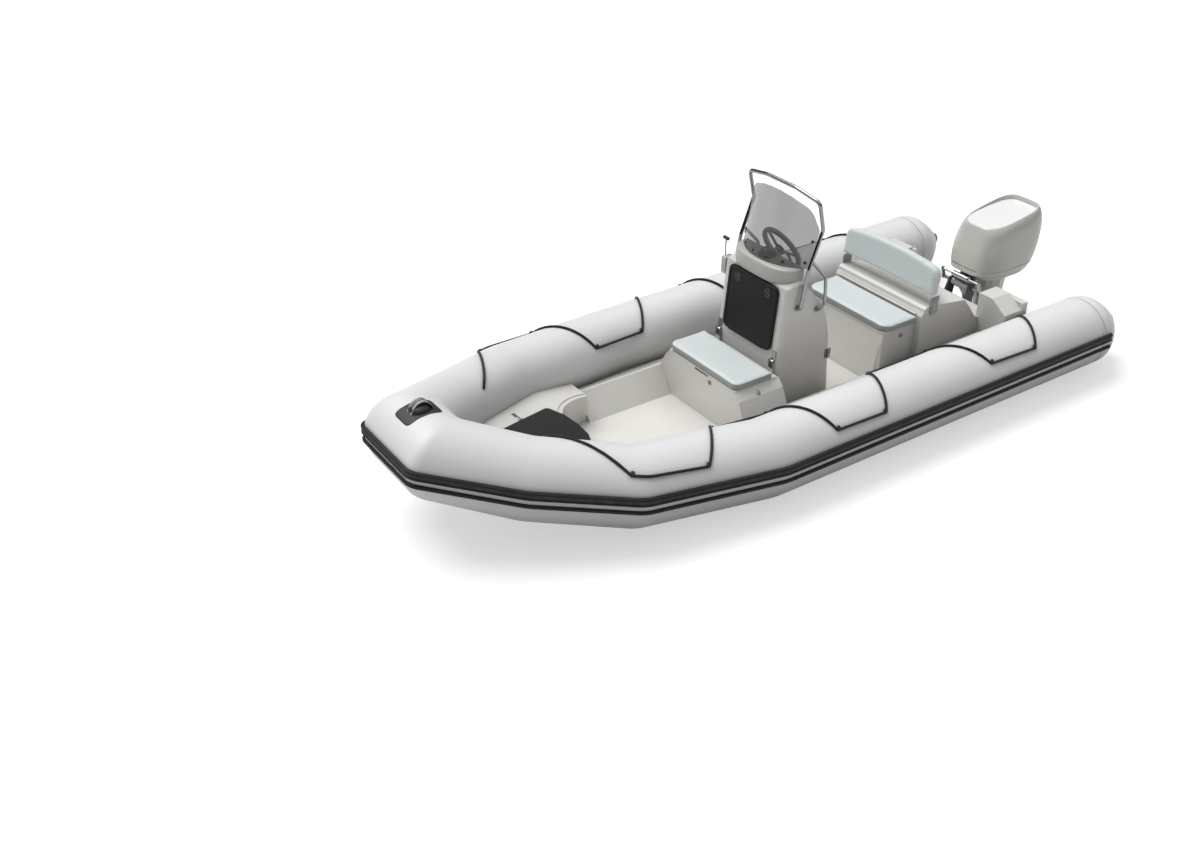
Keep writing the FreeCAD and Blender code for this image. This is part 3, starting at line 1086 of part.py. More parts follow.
transomBlock = primitive("Box", "TransomBlock", Length="transom_thickness + eye_stand_off",
                         Width=f"2 * {transomHalf}",
                         Height="console_height")
place(transomBlock, "transom_x - seat_gap", f"-{transomHalf}", "-keel_depth")
sternEyeShare = 0.778
for sideName, side in (("port", ""), ("starboard", "-")):
    towingEye(f"stern_eye_{sideName}", "transom_x - eye_stand_off",
              f"{side}{sternEyeShare} * {transomHalf}", "stern_eye_height",
              Rotation(alongX, 90), [transomBlock])
# The stem's line at the bow eye lies between two of the hull's stations
before, after = hullShares[4], hullShares[5]
keelAt = [f"(-keel_depth + {row[1]} * stem_rise)" for row in (before, after)]
alongAt = [f"(transom_x + {row[0]} * (stem_x - transom_x))" for row in (before, after)]
part = f"((bow_eye_height - {keelAt[0]}) / ({keelAt[1]} - {keelAt[0]}))"
stemX = f"({alongAt[0]} + {part} * ({alongAt[1]} - {alongAt[0]}))"
stemSlope = f"atan(({keelAt[1]} - {keelAt[0]}) / ({alongAt[1]} - {alongAt[0]}))"
towingEye("bow_eye", f"{stemX} + eye_stand_off * sin({stemSlope})", "0",
          f"bow_eye_height - eye_stand_off * cos({stemSlope})", Rotation(alongY, -90 - size(stemSlope)),
          [hullRaw])

# Outboard motor: clamp bracket on the transom
tiltX, tiltZ, steerX = "tilt_axis_x", "tilt_axis_z", "(tilt_axis_x - steer_axis_aft)"
cheekSide = [
    ("transom_x - seat_gap", "clamp_foot_z"), ("transom_x - seat_gap", "transom_cut_height"),
    ("tilt_axis_x + 0.9 * cheek_rim", "tilt_axis_z + cheek_rim"),
    ("tilt_axis_x - cheek_rim", "tilt_axis_z + 0.9 * cheek_rim"),
    ("tilt_axis_x - cheek_rim", "tilt_axis_z - 1.2 * cheek_rim"), ("transom_x - cheek_depth", "clamp_foot_z"),
]
cheeks = [slab(f"Cheek_{sideName}", cheekSide, "clamp_plate", f"{side}clamp_half_width")
          for sideName, side in (("port", ""), ("starboard", "-"))]
web = primitive("Box", "ClampWeb", Length="clamp_plate", Width="2 * clamp_half_width",
                Height="clamp_web_height")
place(web, "transom_x - seat_gap - clamp_plate", "-clamp_half_width", "clamp_foot_z + clamp_web_height / 2")
tiltHole = primitive("Cylinder", "TiltHole", Radius="tilt_tube_radius + seat_gap",
                     Height="3 * clamp_half_width")
place(tiltHole, tiltX, "1.5 * clamp_half_width", tiltZ, alongX, "90")
keep(trimmed("ClampBracket", joined("ClampForm", cheeks + [web]), [tiltHole]), "clamp_bracket")

# Swivel bracket: the tilt tube, a barrel across between the cheeks and an upright one for the steering shaft
rodHalf = "(cylinder_rod_length / 2)"
tiltTube = primitive("Cylinder", "TiltTube", Radius="tilt_tube_radius",
                     Height="cylinder_rod_length - 2 * cylinder_arm")
place(tiltTube, tiltX, f"{rodHalf} - cylinder_arm", tiltZ, alongX, "90")
barrelHalf = "(clamp_half_width - clamp_plate / 2 - swivel_side_play)"
barrel = primitive("Cylinder", "CrossBarrel", Radius="swivel_barrel_radius", Height=f"2 * {barrelHalf}")
place(barrel, tiltX, barrelHalf, tiltZ, alongX, "90")
upright = primitive("Cylinder", "UprightBarrel", Radius="swivel_tube_radius", Height="swivel_tube_height")
place(upright, steerX, "0", "tilt_axis_z - swivel_tube_drop")
web = slab("SwivelWeb", [
    (tiltX, "tilt_axis_z + swivel_barrel_radius"),
    (steerX, "tilt_axis_z + swivel_tube_height - swivel_tube_drop"),
    (steerX, "tilt_axis_z - 0.9 * swivel_tube_drop"),
    ("tilt_axis_x - swivel_web", "tilt_axis_z - 0.4 * swivel_tube_drop"),
    (tiltX, "tilt_axis_z - swivel_barrel_radius"),
], "swivel_web", "0")
kingHole = primitive("Cylinder", "KingHole", Radius="king_radius + seat_gap", Height="2 * swivel_tube_height")
place(kingHole, steerX, "0", "tilt_axis_z - 1.5 * swivel_tube_drop")
keep(trimmed("SwivelBracket", joined("SwivelForm", [tiltTube, barrel, upright, web]), [kingHole]),
     "swivel_bracket")

# Steering cylinder on its rod, which two arms hold over the ends of the tilt tube
rodX, rodZ = "(tilt_axis_x + cylinder_fore)", "(tilt_axis_z + cylinder_rise)"
rod = primitive("Cylinder", "SteeringRod", Radius="cylinder_rod_radius", Height="cylinder_rod_length")
place(rod, rodX, rodHalf, rodZ, alongX, "90")
arms = [slab(f"RodArm_{sideName}", [
    ("tilt_axis_x - tilt_tube_radius", "tilt_axis_z - tilt_tube_radius"),
    ("tilt_axis_x + tilt_tube_radius", "tilt_axis_z - tilt_tube_radius"),
    (f"{rodX} + tilt_tube_radius", f"{rodZ}"),
    (f"{rodX} + cylinder_rod_radius", f"{rodZ} + tilt_tube_radius"),
    (f"{rodX} - cylinder_rod_radius", f"{rodZ} + tilt_tube_radius"),
    (f"{rodX} - tilt_tube_radius", f"{rodZ}"),
], "cylinder_arm - seat_gap", f"{side}({rodHalf} - cylinder_arm / 2 + seat_gap / 2)")
    for sideName, side in (("port", ""), ("starboard", "-"))]
keep(joined("RodForm", [rod] + arms), "steering_rod")
barrel = primitive("Cylinder", "SteeringBarrel", Radius="cylinder_radius", Height="cylinder_length")
place(barrel, rodX, "cylinder_length / 2", rodZ, alongX, "90")
lug = primitive("Box", "CylinderLug", Length="cylinder_fore + steer_axis_aft - yoke_front",
                Width="2 * cylinder_radius", Height="cylinder_arm")
place(lug, "tilt_axis_x - steer_axis_aft + yoke_front", "-cylinder_radius",
      f"{rodZ} + cylinder_radius - cylinder_arm")
rodHole = primitive("Cylinder", "RodHole", Radius="cylinder_rod_radius + seat_gap",
                    Height="2 * cylinder_length")
place(rodHole, rodX, "cylinder_length", rodZ, alongX, "90")
keep(trimmed("SteeringCylinder", joined("CylinderForm", [barrel, lug]), [rodHole]), "steering_cylinder")

# Steering shaft with its upper and lower arms
yokeLow = "(tilt_axis_z - swivel_tube_drop - yoke_gap - yoke_thickness)"
yokeHigh = "(tilt_axis_z - swivel_tube_drop + swivel_tube_height + yoke_gap)"
king = primitive("Cylinder", "KingShaft", Radius="king_radius",
                 Height=f"{yokeHigh} - {yokeLow} + yoke_thickness")
place(king, steerX, "0", yokeLow)
upper = primitive("Box", "UpperYoke", Length="yoke_length + yoke_front", Width="2 * yoke_half_width",
                  Height="yoke_thickness")
place(upper, f"{steerX} - yoke_length", "-yoke_half_width", yokeHigh)
lower = primitive("Box", "LowerYoke", Length="0.6 * yoke_length + king_radius", Width="1.6 * yoke_half_width",
                  Height="yoke_thickness")
place(lower, f"{steerX} - 0.6 * yoke_length", "-0.8 * yoke_half_width", yokeLow)
yoke = keep(joined("YokeForm", [king, upper, lower]), "steering_yoke")


# Motor leg and cowl, ruled through level sections. Each section is shares of the length and the half width
def levelSection(shares, frontX, aftX, half, z):
    port = [Vector(frontX + (aftX - frontX) * along, half * across, z) for along, across in shares]
    points = port + [Vector(point.x, -point.y, z) for point in reversed(port) if point.y > 0]
    return Part.makePolygon(points + points[:1])


finShares = [(0.0, 0.0), (0.07, 0.5), (0.2, 0.86), (0.42, 1.0), (0.7, 0.82), (0.88, 0.48), (1.0, 0.0)]
# Shares of the height from the shaft to the cowl, of the length at the top and of the half width at the top
legShares = [(0.036, 0.13, 0.433, 0.257), (0.174, 0.1, 0.555, 0.33), (0.3705, 0.0, 0.858, 0.443),
             (0.83, 0.024, 0.918, 0.786), (1.0, -0.05, 0.979, 1.0)]
legHeight = "(cowl_low - seat_gap - shaft_z)"
legFront = f"({steerX} - leg_front_gap)"
legForm = shaped("LegForm", Part.makeLoft([levelSection(
    finShares, size(f"{legFront} - {front} * leg_top_length"), size(f"{legFront} - {aft} * leg_top_length"),
    size(f"{half} * leg_top_half_width"), size(f"shaft_z + {up} * {legHeight}"))
    for up, front, aft, half in legShares], True, True))
plateZ = "(shaft_z + plate_rise)"
plate = slab("CavitationPlate", [
    (f"{legFront} - 0.06 * plate_length", f"{plateZ} + plate_thickness"),
    (f"{legFront} - 0.06 * plate_length", plateZ),
    (f"{legFront} - 1.06 * plate_length", plateZ),
    (f"{legFront} - 1.06 * plate_length", f"{plateZ} + plate_thickness")],
    "2 * plate_half_width", "0")
skeg = slab("Skeg", [
    ("gearcase_aft_x + 0.9 * gearcase_length", "shaft_z"),
    ("gearcase_aft_x + 0.5 * gearcase_length", "shaft_z - skeg_depth"),
    ("gearcase_aft_x + 0.16 * gearcase_length", "shaft_z - skeg_depth"),
    ("gearcase_aft_x + 0.045 * gearcase_length", "shaft_z"),
], "skeg_thickness", "0")
case = primitive("Cylinder", "Gearcase", Radius="gearcase_radius", Height="gearcase_length")
place(case, "gearcase_aft_x", "0", "shaft_z", alongY, "90")
nose = primitive("Cone", "GearcaseNose", Radius1="gearcase_radius", Radius2="gearcase_radius / 4",
                 Height="gearcase_nose")
place(nose, "gearcase_aft_x + gearcase_length", "0", "shaft_z", alongY, "90")
keep(trimmed("MotorLeg", joined("LegWhole", [legForm, plate, skeg, case, nose]), [yoke]), "motor_leg")


# Cowl: a smooth skin through rounded, squarish sections, narrower at the front, that tilt up to a sloping crown
# Shares of the height, of the length at the front and the back and of the half width, and each section's rise aft
cowlShares = [(0.0, 0.018, 0.918, 0.909, 0.0), (0.064, 0.002, 0.939, 0.946, 0.0), (0.149, 0.0, 0.953, 0.971, 0.0),
              (0.287, 0.006, 0.973, 0.992, 0.0), (0.471, 0.026, 0.989, 1.0, 0.02),
              (0.631, 0.05, 0.997, 0.996, 0.05), (0.769, 0.074, 1.0, 0.959, 0.085),
              (0.873, 0.092, 0.994, 0.909, 0.115), (0.941, 0.105, 0.983, 0.851, 0.14),
              (0.978, 0.116, 0.969, 0.801, 0.153), (1.0, 0.145, 0.937, 0.718, 0.16)]
hoodCorners, hoodPower, hoodNarrowing = 32, 0.52, 0.22


def hoodSection(front, aft, half, up, rise):
    frontX, aftX = size(f"cowl_front_x - {front} * cowl_length"), size(f"cowl_front_x - {aft} * cowl_length")
    halfWidth, z = size(f"{half} * cowl_half_width"), size(f"cowl_low + {up} * cowl_height")
    points = []
    for index in range(hoodCorners):
        turned = 2 * math.pi * index / hoodCorners
        along = math.copysign(abs(math.cos(turned)) ** hoodPower, math.cos(turned))
        across = math.copysign(abs(math.sin(turned)) ** hoodPower, math.sin(turned))
        across *= 1 - hoodNarrowing * max(0, along) ** 2
        aftward = -along * (frontX - aftX) / 2
        points.append(Vector((frontX + aftX) / 2 - aftward, across * halfWidth, z + rise * aftward))
    curve = Part.BSplineCurve()
    curve.interpolate(points, True)
    return Part.Wire(curve.toShape())


cowlForm = Part.makeLoft([hoodSection(front, aft, half, up, rise) for up, front, aft, half, rise in cowlShares],
                         True, False)
keep(shaped("CowlForm", cowlForm), "motor_cowl")

# Propeller: each blade is ruled through lens sections that twist with its pitch. Shares of the radius and chord
bladeShares = [(0.24, 0.7, 1.0), (0.42, 0.92, 0.75), (0.62, 1.0, 0.55), (0.8, 0.86, 0.4), (0.93, 0.55, 0.3),
               (1.0, 0.2, 0.25)]
lensShares = [(-0.5, 0.0), (-0.25, 0.5), (0.05, 0.6), (0.3, 0.4), (0.5, 0.0), (0.05, -0.15)]
propellerX = size("gearcase_aft_x - seat_gap - propeller_hub_length / 2")


def bladeSection(radiusShare, chordShare, thickShare):
    radius = radiusShare * size("propeller_radius")
    turn = Rotation(alongZ, math.degrees(math.atan2(size("propeller_pitch"), 2 * math.pi * radius)))
    points = []
    for along, across in lensShares:
        flat = Vector(across * thickShare * size("propeller_blade_thickness"),
                      along * chordShare * size("propeller_chord"), radius)
        points.append(turn.multVec(flat))
    return Part.makePolygon(points + points[:1])


blade = Part.makeLoft([bladeSection(*row) for row in bladeShares], True, True)
screw = Part.makeCylinder(size("propeller_hub_radius"), size("propeller_hub_length"),
                          Vector(-size("propeller_hub_length") / 2, 0, 0), alongX)
for index in range(3):
    turned = blade.copy()
    turned.rotate(Vector(), alongX, index * 360 / 3)
    screw = screw.fuse(turned)
propeller = shaped("ScrewForm", screw)
propeller.Placement = Placement(Vector(propellerX, 0, size("shaft_z")), Rotation())
keep(propeller, "propeller")

# Lifelines on each side, each in three lengths held by studs; shares along the collar, and angles inboard of its top
ropeShares = [(0.8997, 47), (0.8112, -43), (0.7186, -49), (0.6699, 56), (0.5757, 54), (0.5283, -51),
              (0.4435, -53),
              (0.4043, 45), (0.2886, 50), (0.2411, -45), (0.1526, -48), (0.1044, 45)]


def onTube(x, angle, lift):
    """The point over the port tube at X, its angle inboard of the top, lifted off the skin."""
    for start, end in zip(portAxis, portAxis[1:]):
        if start.x <= x <= end.x:
            break
    run = (end - start).normalize()
    centre = start + run * ((x - start.x) / run.x)
    outward = Vector(-run.y, run.x, 0).normalize()
    top = run.cross(outward) * (1 if run.cross(outward).z > 0 else -1)
    turned = math.radians(angle)
    return centre + (top * math.cos(turned) - outward * math.sin(turned)) * (tubeRadius + lift)


def between(before, after):
    """Stations where the rope winds over the tube, far enough off the skin for its arcs to follow it."""
    steps = max(1, round(abs(after[1] - before[1]) / wrapAngle))
    stations = [(before[0] + (after[0] - before[0]) * step / steps,
                 before[1] + (after[1] - before[1]) * step / steps)
                for step in range(1, steps)]
    if after[1] < 0 and before[1] < 0:
        stations = [(bend.x, (before[1] + after[1]) / 2) for bend in portAxis[1:-1] if after[0] < bend.x < before[0]]
    return stations


wrapAngle = 15
ropeRadius, ropeLift = size("rope_diameter / 2"), size("rope_diameter / 2 + rope_clearance")
windLift = (tubeRadius + ropeLift) / math.cos(math.radians(0.6 * wrapAngle)) - tubeRadius
studArc = size("stud_radius + rope_diameter / 2 + 2 * seat_gap")
places = [(size(f"tube_aft_x + {share} * (tube_bow_x - tube_aft_x)"), angle) for share, angle in ropeShares]
ropeStations = [(places[0], True)]
for before, after in zip(places, places[1:]):
    ropeStations += [(station, False) for station in between(before, after)]
    ropeStations.append((after, True))
ropePoints = [onTube(x, angle, ropeLift if studded else windLift) for (x, angle), studded in ropeStations]
ropeBends = []
for before, corner, after, (station, studded) in zip(ropePoints, ropePoints[1:], ropePoints[2:],
                                                     ropeStations[1:]):
    turn = (corner - before).getAngle(after - corner)
    room = min((corner - before).Length, (after - corner).Length) * 0.48 / math.tan(turn / 2)
    ropeBends.append(min(studArc if studded else tubeRadius, room))
rope = bentTube(ropePoints, ropeRadius, ropeBends)
studs = []
for before, corner, after, (station, studded) in zip(ropePoints, ropePoints[1:], ropePoints[2:],
                                                     ropeStations[1:]):
    if studded:
        skin = onTube(station[0], station[1], size("seat_gap"))
        outward = (corner - skin).normalize()
        inside = ((before - corner).normalize() + (after - corner).normalize())
        half = (before - corner).getAngle(after - corner) / 2
        middleOf = skin + (inside - outward * inside.dot(outward)).normalize() * (studArc / math.sin(half))
        stem = Part.makeCylinder(size("stud_radius"), size("2 * rope_clearance + rope_diameter"), middleOf,
                                 outward)
        cap = Part.makeCylinder(size("stud_cap_radius"), size("stud_cap_height"),
                                middleOf + outward * size("2 * rope_clearance + rope_diameter"), outward)
        studs.append(stem.fuse(cap))
for sideName in ("port", "starboard"):
    if sideName == "starboard":
        rope = rope.mirror(Vector(), alongY)
        studs = [stud.mirror(Vector(), alongY) for stud in studs]
    keep(shaped(f"Lifeline_{sideName}", rope), f"lifeline_{sideName}")
    keep(shaped(f"Clips_{sideName}", Part.makeCompound(studs).cut(collarSeatShape)), f"rope_clips_{sideName}")

doc.recompute()
for item in doc.Objects:
    if "Invalid" in item.State or "Error" in item.State:
        raise RuntimeError(f"{item.Label} did not build: {item.State}")
for item in pieces:
    if item.Shape.isNull() or not item.Shape.isValid():
        raise RuntimeError(f"{item.Label} has no valid shape")
    item.Shape.exportStep(f"parts/{item.Label}.step")
    print(item.Label, len(item.Shape.Solids), round(item.Shape.Volume / 1e6, 3))
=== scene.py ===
import math

import bmesh
import bpy
from mathutils import Matrix, Vector
from mathutils.bvhtree import BVHTree


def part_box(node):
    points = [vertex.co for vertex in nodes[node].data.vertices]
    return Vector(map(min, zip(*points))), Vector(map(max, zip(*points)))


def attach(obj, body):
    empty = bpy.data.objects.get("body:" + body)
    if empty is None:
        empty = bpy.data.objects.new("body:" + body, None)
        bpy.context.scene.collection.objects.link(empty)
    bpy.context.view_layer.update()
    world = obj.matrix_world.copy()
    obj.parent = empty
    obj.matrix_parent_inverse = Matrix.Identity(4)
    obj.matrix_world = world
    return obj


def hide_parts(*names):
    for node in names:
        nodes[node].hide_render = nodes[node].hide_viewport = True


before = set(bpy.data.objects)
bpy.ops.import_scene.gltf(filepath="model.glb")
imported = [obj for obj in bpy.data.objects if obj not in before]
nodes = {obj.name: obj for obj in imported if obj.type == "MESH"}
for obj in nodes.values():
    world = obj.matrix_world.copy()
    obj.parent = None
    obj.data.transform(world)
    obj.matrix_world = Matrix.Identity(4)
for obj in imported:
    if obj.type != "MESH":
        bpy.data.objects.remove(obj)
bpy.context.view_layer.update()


class Signal:  # a shader socket, whose sums and products add Math nodes
    def __init__(self, finish, socket):
        self.finish, self.socket = finish, socket

    def __add__(self, other):
        return self.finish.maths("ADD", self, other)

    def __mul__(self, other):
        return self.finish.maths("MULTIPLY", self, other)


socketNames = {"metallic": "Metallic", "coat": "Coat Weight", "coatRough": "Coat Roughness", "rough": "Roughness",
               "sheen": "Sheen Weight", "clear": "Alpha", "specular": "Specular IOR Level"}


def shaded(colour, share, extra=0.0):  # a colour made darker or paler
    return tuple(min(1, channel * share + extra) for channel in colour)


finishes = {}  # materials by the names that they are given here


class Finish:  # a material with its Principled shader
    def __init__(self, name, **constants):
        self.material = bpy.data.materials.new(name)
        self.material.use_nodes = True
        finishes[name] = self.material
        self.tree = self.material.node_tree
        self.shader = self.tree.nodes["Principled BSDF"]
        for key, value in constants.items():
            self.shader.inputs[socketNames[key]].default_value = value

    def node(self, kind, settings=None, inputs=None, output=0):
        made = self.tree.nodes.new(kind)
        for name, value in (settings or {}).items():
            if name == "stops":
                stops = made.color_ramp.elements
                for index, (place, shade) in enumerate(value):
                    stop = stops[index] if index < 2 else stops.new(place)
                    stop.position = place
                    stop.color = (shade, shade, shade, 1) if isinstance(shade, float) else (*shade, 1)
            else:
                setattr(made, name, value)
        for key, value in (inputs or {}).items():
            if isinstance(value, Signal):
                self.tree.links.new(value.socket, made.inputs[key])
            else:
                made.inputs[key].default_value = value
        return Signal(self, made.outputs[output])

    def maths(self, operation, first, second=0.0):
        return self.node("ShaderNodeMath", {"operation": operation}, {0: first, 1: second})

    def blend(self, factor, first, second):
        colours = [(*shade, 1) if isinstance(shade, tuple) else shade for shade in (first, second)]
        return self.node("ShaderNodeMix", {"data_type": "RGBA"}, {0: factor, 6: colours[0], 7: colours[1]}, output=2)

    def places(self):
        return self.node("ShaderNodeTexCoord", output=3)

    def noise(self, scale, detail=2.0):
        return self.node("ShaderNodeTexNoise", {}, {"Vector": self.places(), "Scale": scale, "Detail": detail})

    def paintedShade(self, reach):  # 1 in the open and lower in corners: ambient occlusion, which paints shade into the colour
        return self.node("ShaderNodeAmbientOcclusion", {"samples": 6}, {"Distance": reach}, output=1)

    def ramp(self, signal, stops):
        return self.node("ShaderNodeValToRGB", {"stops": stops}, {0: signal})

    def part(self, signal, letter):
        return self.node("ShaderNodeSeparateXYZ", {}, {0: signal}, output="XYZ".index(letter))

    def feed(self, name, signal):
        self.tree.links.new(signal.socket, self.shader.inputs[name])

    def bump(self, height, strength, distance):
        raised = self.node("ShaderNodeBump", {}, {"Strength": strength, "Distance": distance, "Height": height})
        self.feed("Normal", raised)


def satin(name, colour, rough, vary, scale, grain=0.0, grainScale=0.0, **constants):
    finish = Finish(name, **constants)
    clouds = finish.noise(scale, 3.0)
    finish.feed("Base Color", finish.blend(clouds, shaded(colour, 1 - vary), colour))
    finish.feed("Roughness", clouds * 0.1 + (rough - 0.05))
    if grain:
        finish.bump(finish.noise(grainScale), grain, 0.0006)


def wovenRubber(name, colour, rough):  # coated fabric: a faint weave under a smooth skin, with painted shade in its hollows
    finish = Finish(name, coat=0.12, coatRough=0.4, specular=0.35)
    spots = finish.places()
    across, along = (finish.node("ShaderNodeTexWave", {"bands_direction": way},
                                 {0: spots, "Scale": 160.0, "Distortion": 0.4}) for way in "XZ")
    clouds = finish.noise(2.2, 4.0)
    skin = finish.blend(clouds, shaded(colour, 0.965), shaded(colour, 1.03))
    # painted shade: the colour falls to a third of its value where ambient occlusion finds surfaces nearby
    finish.feed("Base Color", finish.blend(finish.paintedShade(0.55), shaded(colour, 0.32), skin))
    finish.feed("Roughness", finish.noise(9.0, 3.0) * 0.14 + (rough - 0.07))
    finish.bump(across * along + finish.noise(1.4, 2.0) * 3.0, 0.08, 0.0008)


def ribbedRubber(name, colour, ribs):
    finish = Finish(name, specular=0.3)
    wave = finish.maths("SINE", finish.part(finish.places(), "Z") * ribs)
    scuffs = finish.noise(14.0, 5.0)
    scuffed = finish.ramp(scuffs, [(0.45, 0.0), (0.75, 1.0)])
    finish.feed("Base Color", finish.blend(scuffed, colour, shaded(colour, 1.5, 0.004)))
    finish.feed("Roughness", scuffs * 0.2 + 0.5)
    finish.bump(wave * 0.5 + scuffs * 0.3, 0.5, 0.001)


def leatherCloth(name, colour, sideShade):  # vinyl: pebbled grain in cells over broad soft wear, with painted shade down its sides
    finish = Finish(name, coat=0.08, coatRough=0.35, sheen=0.12)
    cells = finish.node("ShaderNodeTexVoronoi", {"feature": "DISTANCE_TO_EDGE"}, {0: finish.places(), "Scale": 420.0})
    clouds = finish.noise(6.0, 4.0)
    # painted shade: faces turned away from up take the darker side colour, faces turned up keep the full colour
    level = finish.part(finish.node("ShaderNodeNewGeometry", output=1), "Z")
    paintedLitShare = finish.ramp(level, [(0.25, 0.0), (0.8, 1.0)])
    worn = finish.blend(clouds, shaded(colour, 0.96), colour)
    finish.feed("Base Color", finish.blend(paintedLitShare, shaded(colour, sideShade), worn))
    finish.feed("Roughness", clouds * 0.12 + 0.42)
    pebbles = finish.maths("MINIMUM", cells * 9.0, 1.0)
    finish.bump(pebbles + clouds * 0.6, 0.22, 0.0006)


def gelCoat(name, colour, rough=0.16, coat=0.35):  # glossy moulding, with painted shade in its hollows
    finish = Finish(name, coat=coat, coatRough=0.08)
    clouds = finish.noise(3.0, 4.0)
    skin = finish.blend(clouds, shaded(colour, 0.97), colour)
    # painted shade: the colour falls to 0.58 of its value where ambient occlusion finds surfaces nearby
    finish.feed("Base Color", finish.blend(finish.paintedShade(0.32), shaded(colour, 0.58), skin))
    finish.feed("Roughness", finish.noise(18.0, 3.0) * 0.1 + (rough + 0.02))
    finish.bump(finish.noise(70.0, 1.0), 0.025, 0.0008)


def polished(name, colour, rough, brushed=0.0):
    finish = Finish(name, metallic=1.0)
    haze = finish.noise(25.0, 4.0)
    finish.feed("Base Color", finish.blend(haze, shaded(colour, 0.9), colour))
    finish.feed("Roughness", haze * 0.08 + rough)
    finish.bump(finish.noise(300.0, 2.0), 0.02 + brushed, 0.0003)


def tintedSheet(name, colour, clear):
    finish = Finish(name, rough=0.04, clear=clear, specular=0.5)
    haze = finish.noise(7.0, 3.0)
    finish.feed("Base Color", finish.blend(haze, colour, shaded(colour, 1.15)))
    finish.feed("Roughness", haze * 0.06 + 0.02)


def braid(name, colour):  # a rope's strands as crossing diagonal bands
    finish = Finish(name, specular=0.25, sheen=0.2)
    spots = finish.places()
    one, other = (finish.node("ShaderNodeTexWave", {"bands_direction": way},
                              {0: spots, "Scale": scale, "Distortion": distortion})
                  for way, scale, distortion in (("DIAGONAL", 70.0, 1.0), ("X", 90.0, 2.0)))
    finish.feed("Base Color", finish.blend(one, colour, shaded(colour, 1.8)))
    finish.feed("Roughness", one * 0.15 + 0.55)
    finish.bump(one + other, 0.6, 0.0008)


wovenRubber("tubeFabric", (0.84, 0.84, 0.845), 0.42)
wovenRubber("seamTape", (0.81, 0.81, 0.812), 0.46)
ribbedRubber("strakeChannel", (0.055, 0.055, 0.057), 1400.0)
gelCoat("gaugeGlass", (0.02, 0.02, 0.022), 0.06, 0.6)
satin("seamDark", (0.16, 0.157, 0.15), 0.5, 0.1, 40.0)
ribbedRubber("strapGrey", (0.36, 0.36, 0.36), 420.0)
ribbedRubber("strakeRubber", (0.010, 0.010, 0.011), 1400.0)
satin("capRubber", (0.02, 0.02, 0.021), 0.45, 0.3, 40.0, 0.15, 300.0)
gelCoat("hullGel", (0.74, 0.735, 0.72))
gelCoat("deckGel", (0.79, 0.773, 0.735))
gelCoat("podGel", (0.55, 0.54, 0.51), 0.3, 0.15)
satin("hatchBlack", (0.012, 0.012, 0.0125), 0.52, 0.2, 20.0, 0.25, 700.0, specular=0.3)
leatherCloth("seatVinyl", (0.70, 0.765, 0.76), 0.5)
leatherCloth("backVinyl", (0.78, 0.85, 0.845), 0.93)
polished("stainless", (0.36, 0.36, 0.365), 0.07)
tintedSheet("screenTint", (0.1, 0.1, 0.102), 0.47)
satin("wheelGrip", (0.5, 0.5, 0.505), 0.5, 0.15, 60.0, 0.2, 500.0)
satin("motorDark", (0.03, 0.03, 0.032), 0.38, 0.2, 40.0, 0.1, 200.0, coat=0.2)
satin("cowlPearl", (0.66, 0.65, 0.615), 0.3, 0.02, 3.0, coat=0.5, coatRough=0.08)
polished("castAlloy", (0.5, 0.5, 0.51), 0.3, 0.1)
satin("crownWhite", (0.93, 0.93, 0.92), 0.18, 0.04, 20.0, coat=0.4)
satin("castLight", (0.3, 0.3, 0.295), 0.38, 0.1, 30.0, 0.1, 200.0, metallic=0.35, coat=0.2)
braid("braidBlack", (0.007, 0.007, 0.0075))
print("stage: finishes made")

nodeFinishes = {  # the nodes that stay in sight
    "capRubber": ["cone_cap_port", "cone_cap_starboard", "rope_clips_port", "rope_clips_starboard"],
    "hullGel": ["hull"],
    "deckGel": ["deck_liner", "bow_locker", "transom_board", "aft_moulding", "bench_base", "seat_base",
                "console_shell", "bench_board", "front_seat_board"],
    "podGel": ["control_box"],
    "hatchBlack": ["bow_hatch", "console_hatch"],
    "stainless": ["screen_rail", "grab_rail", "grab_rail_starboard", "seat_hinge_port", "seat_hinge_starboard",
                  "bow_eye", "stern_eye_port", "stern_eye_starboard", "steering_rod", "steering_cylinder"],
    "screenTint": ["windscreen"],
    "wheelGrip": ["steering_wheel"],
    "motorDark": ["steering_yoke", "propeller", "clamp_bracket"],
    "castLight": ["swivel_bracket"],
    "cowlPearl": ["motor_leg"],
    "castAlloy": ["helm_column"],
}
for finishName, names in nodeFinishes.items():
    for name in names:
        nodes[name].data.materials.clear()
        nodes[name].data.materials.append(finishes[finishName])
print("stage: frame painted")


def addPiece(form, name, finish, body, smooth=True, split=None):  # split: the angle over which edges are creased
    bmesh.ops.recalc_face_normals(form, faces=form.faces)
    mesh = bpy.data.meshes.new(name)
    form.to_mesh(mesh)
    form.free()
    piece = bpy.data.objects.new(name, mesh)
    bpy.context.scene.collection.objects.link(piece)
    for face in mesh.polygons:
        face.use_smooth = smooth
    mesh.materials.append(finishes[finish])
    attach(piece, body)
    if split:
        piece.modifiers.new("crisp", "EDGE_SPLIT").split_angle = math.radians(split)
    return piece


# Seat cushions and the backrest: slabs of foam that the cover draws in at its edges
cushionSettings = {
    "front_cushion": {"body": "front_seat_lid", "fill": 0.8},
    "bench_cushion": {"body": "bench_lid", "fill": 0.8},
    "backrest": {"body": "boat", "fill": 0.8, "arch": 0.012},
}
swell = {"voxel": 0.006, "pressure": 4.0, "frames": 20, "cap": 0.009, "inset": 0.004, "soften": (0.6, 6)}


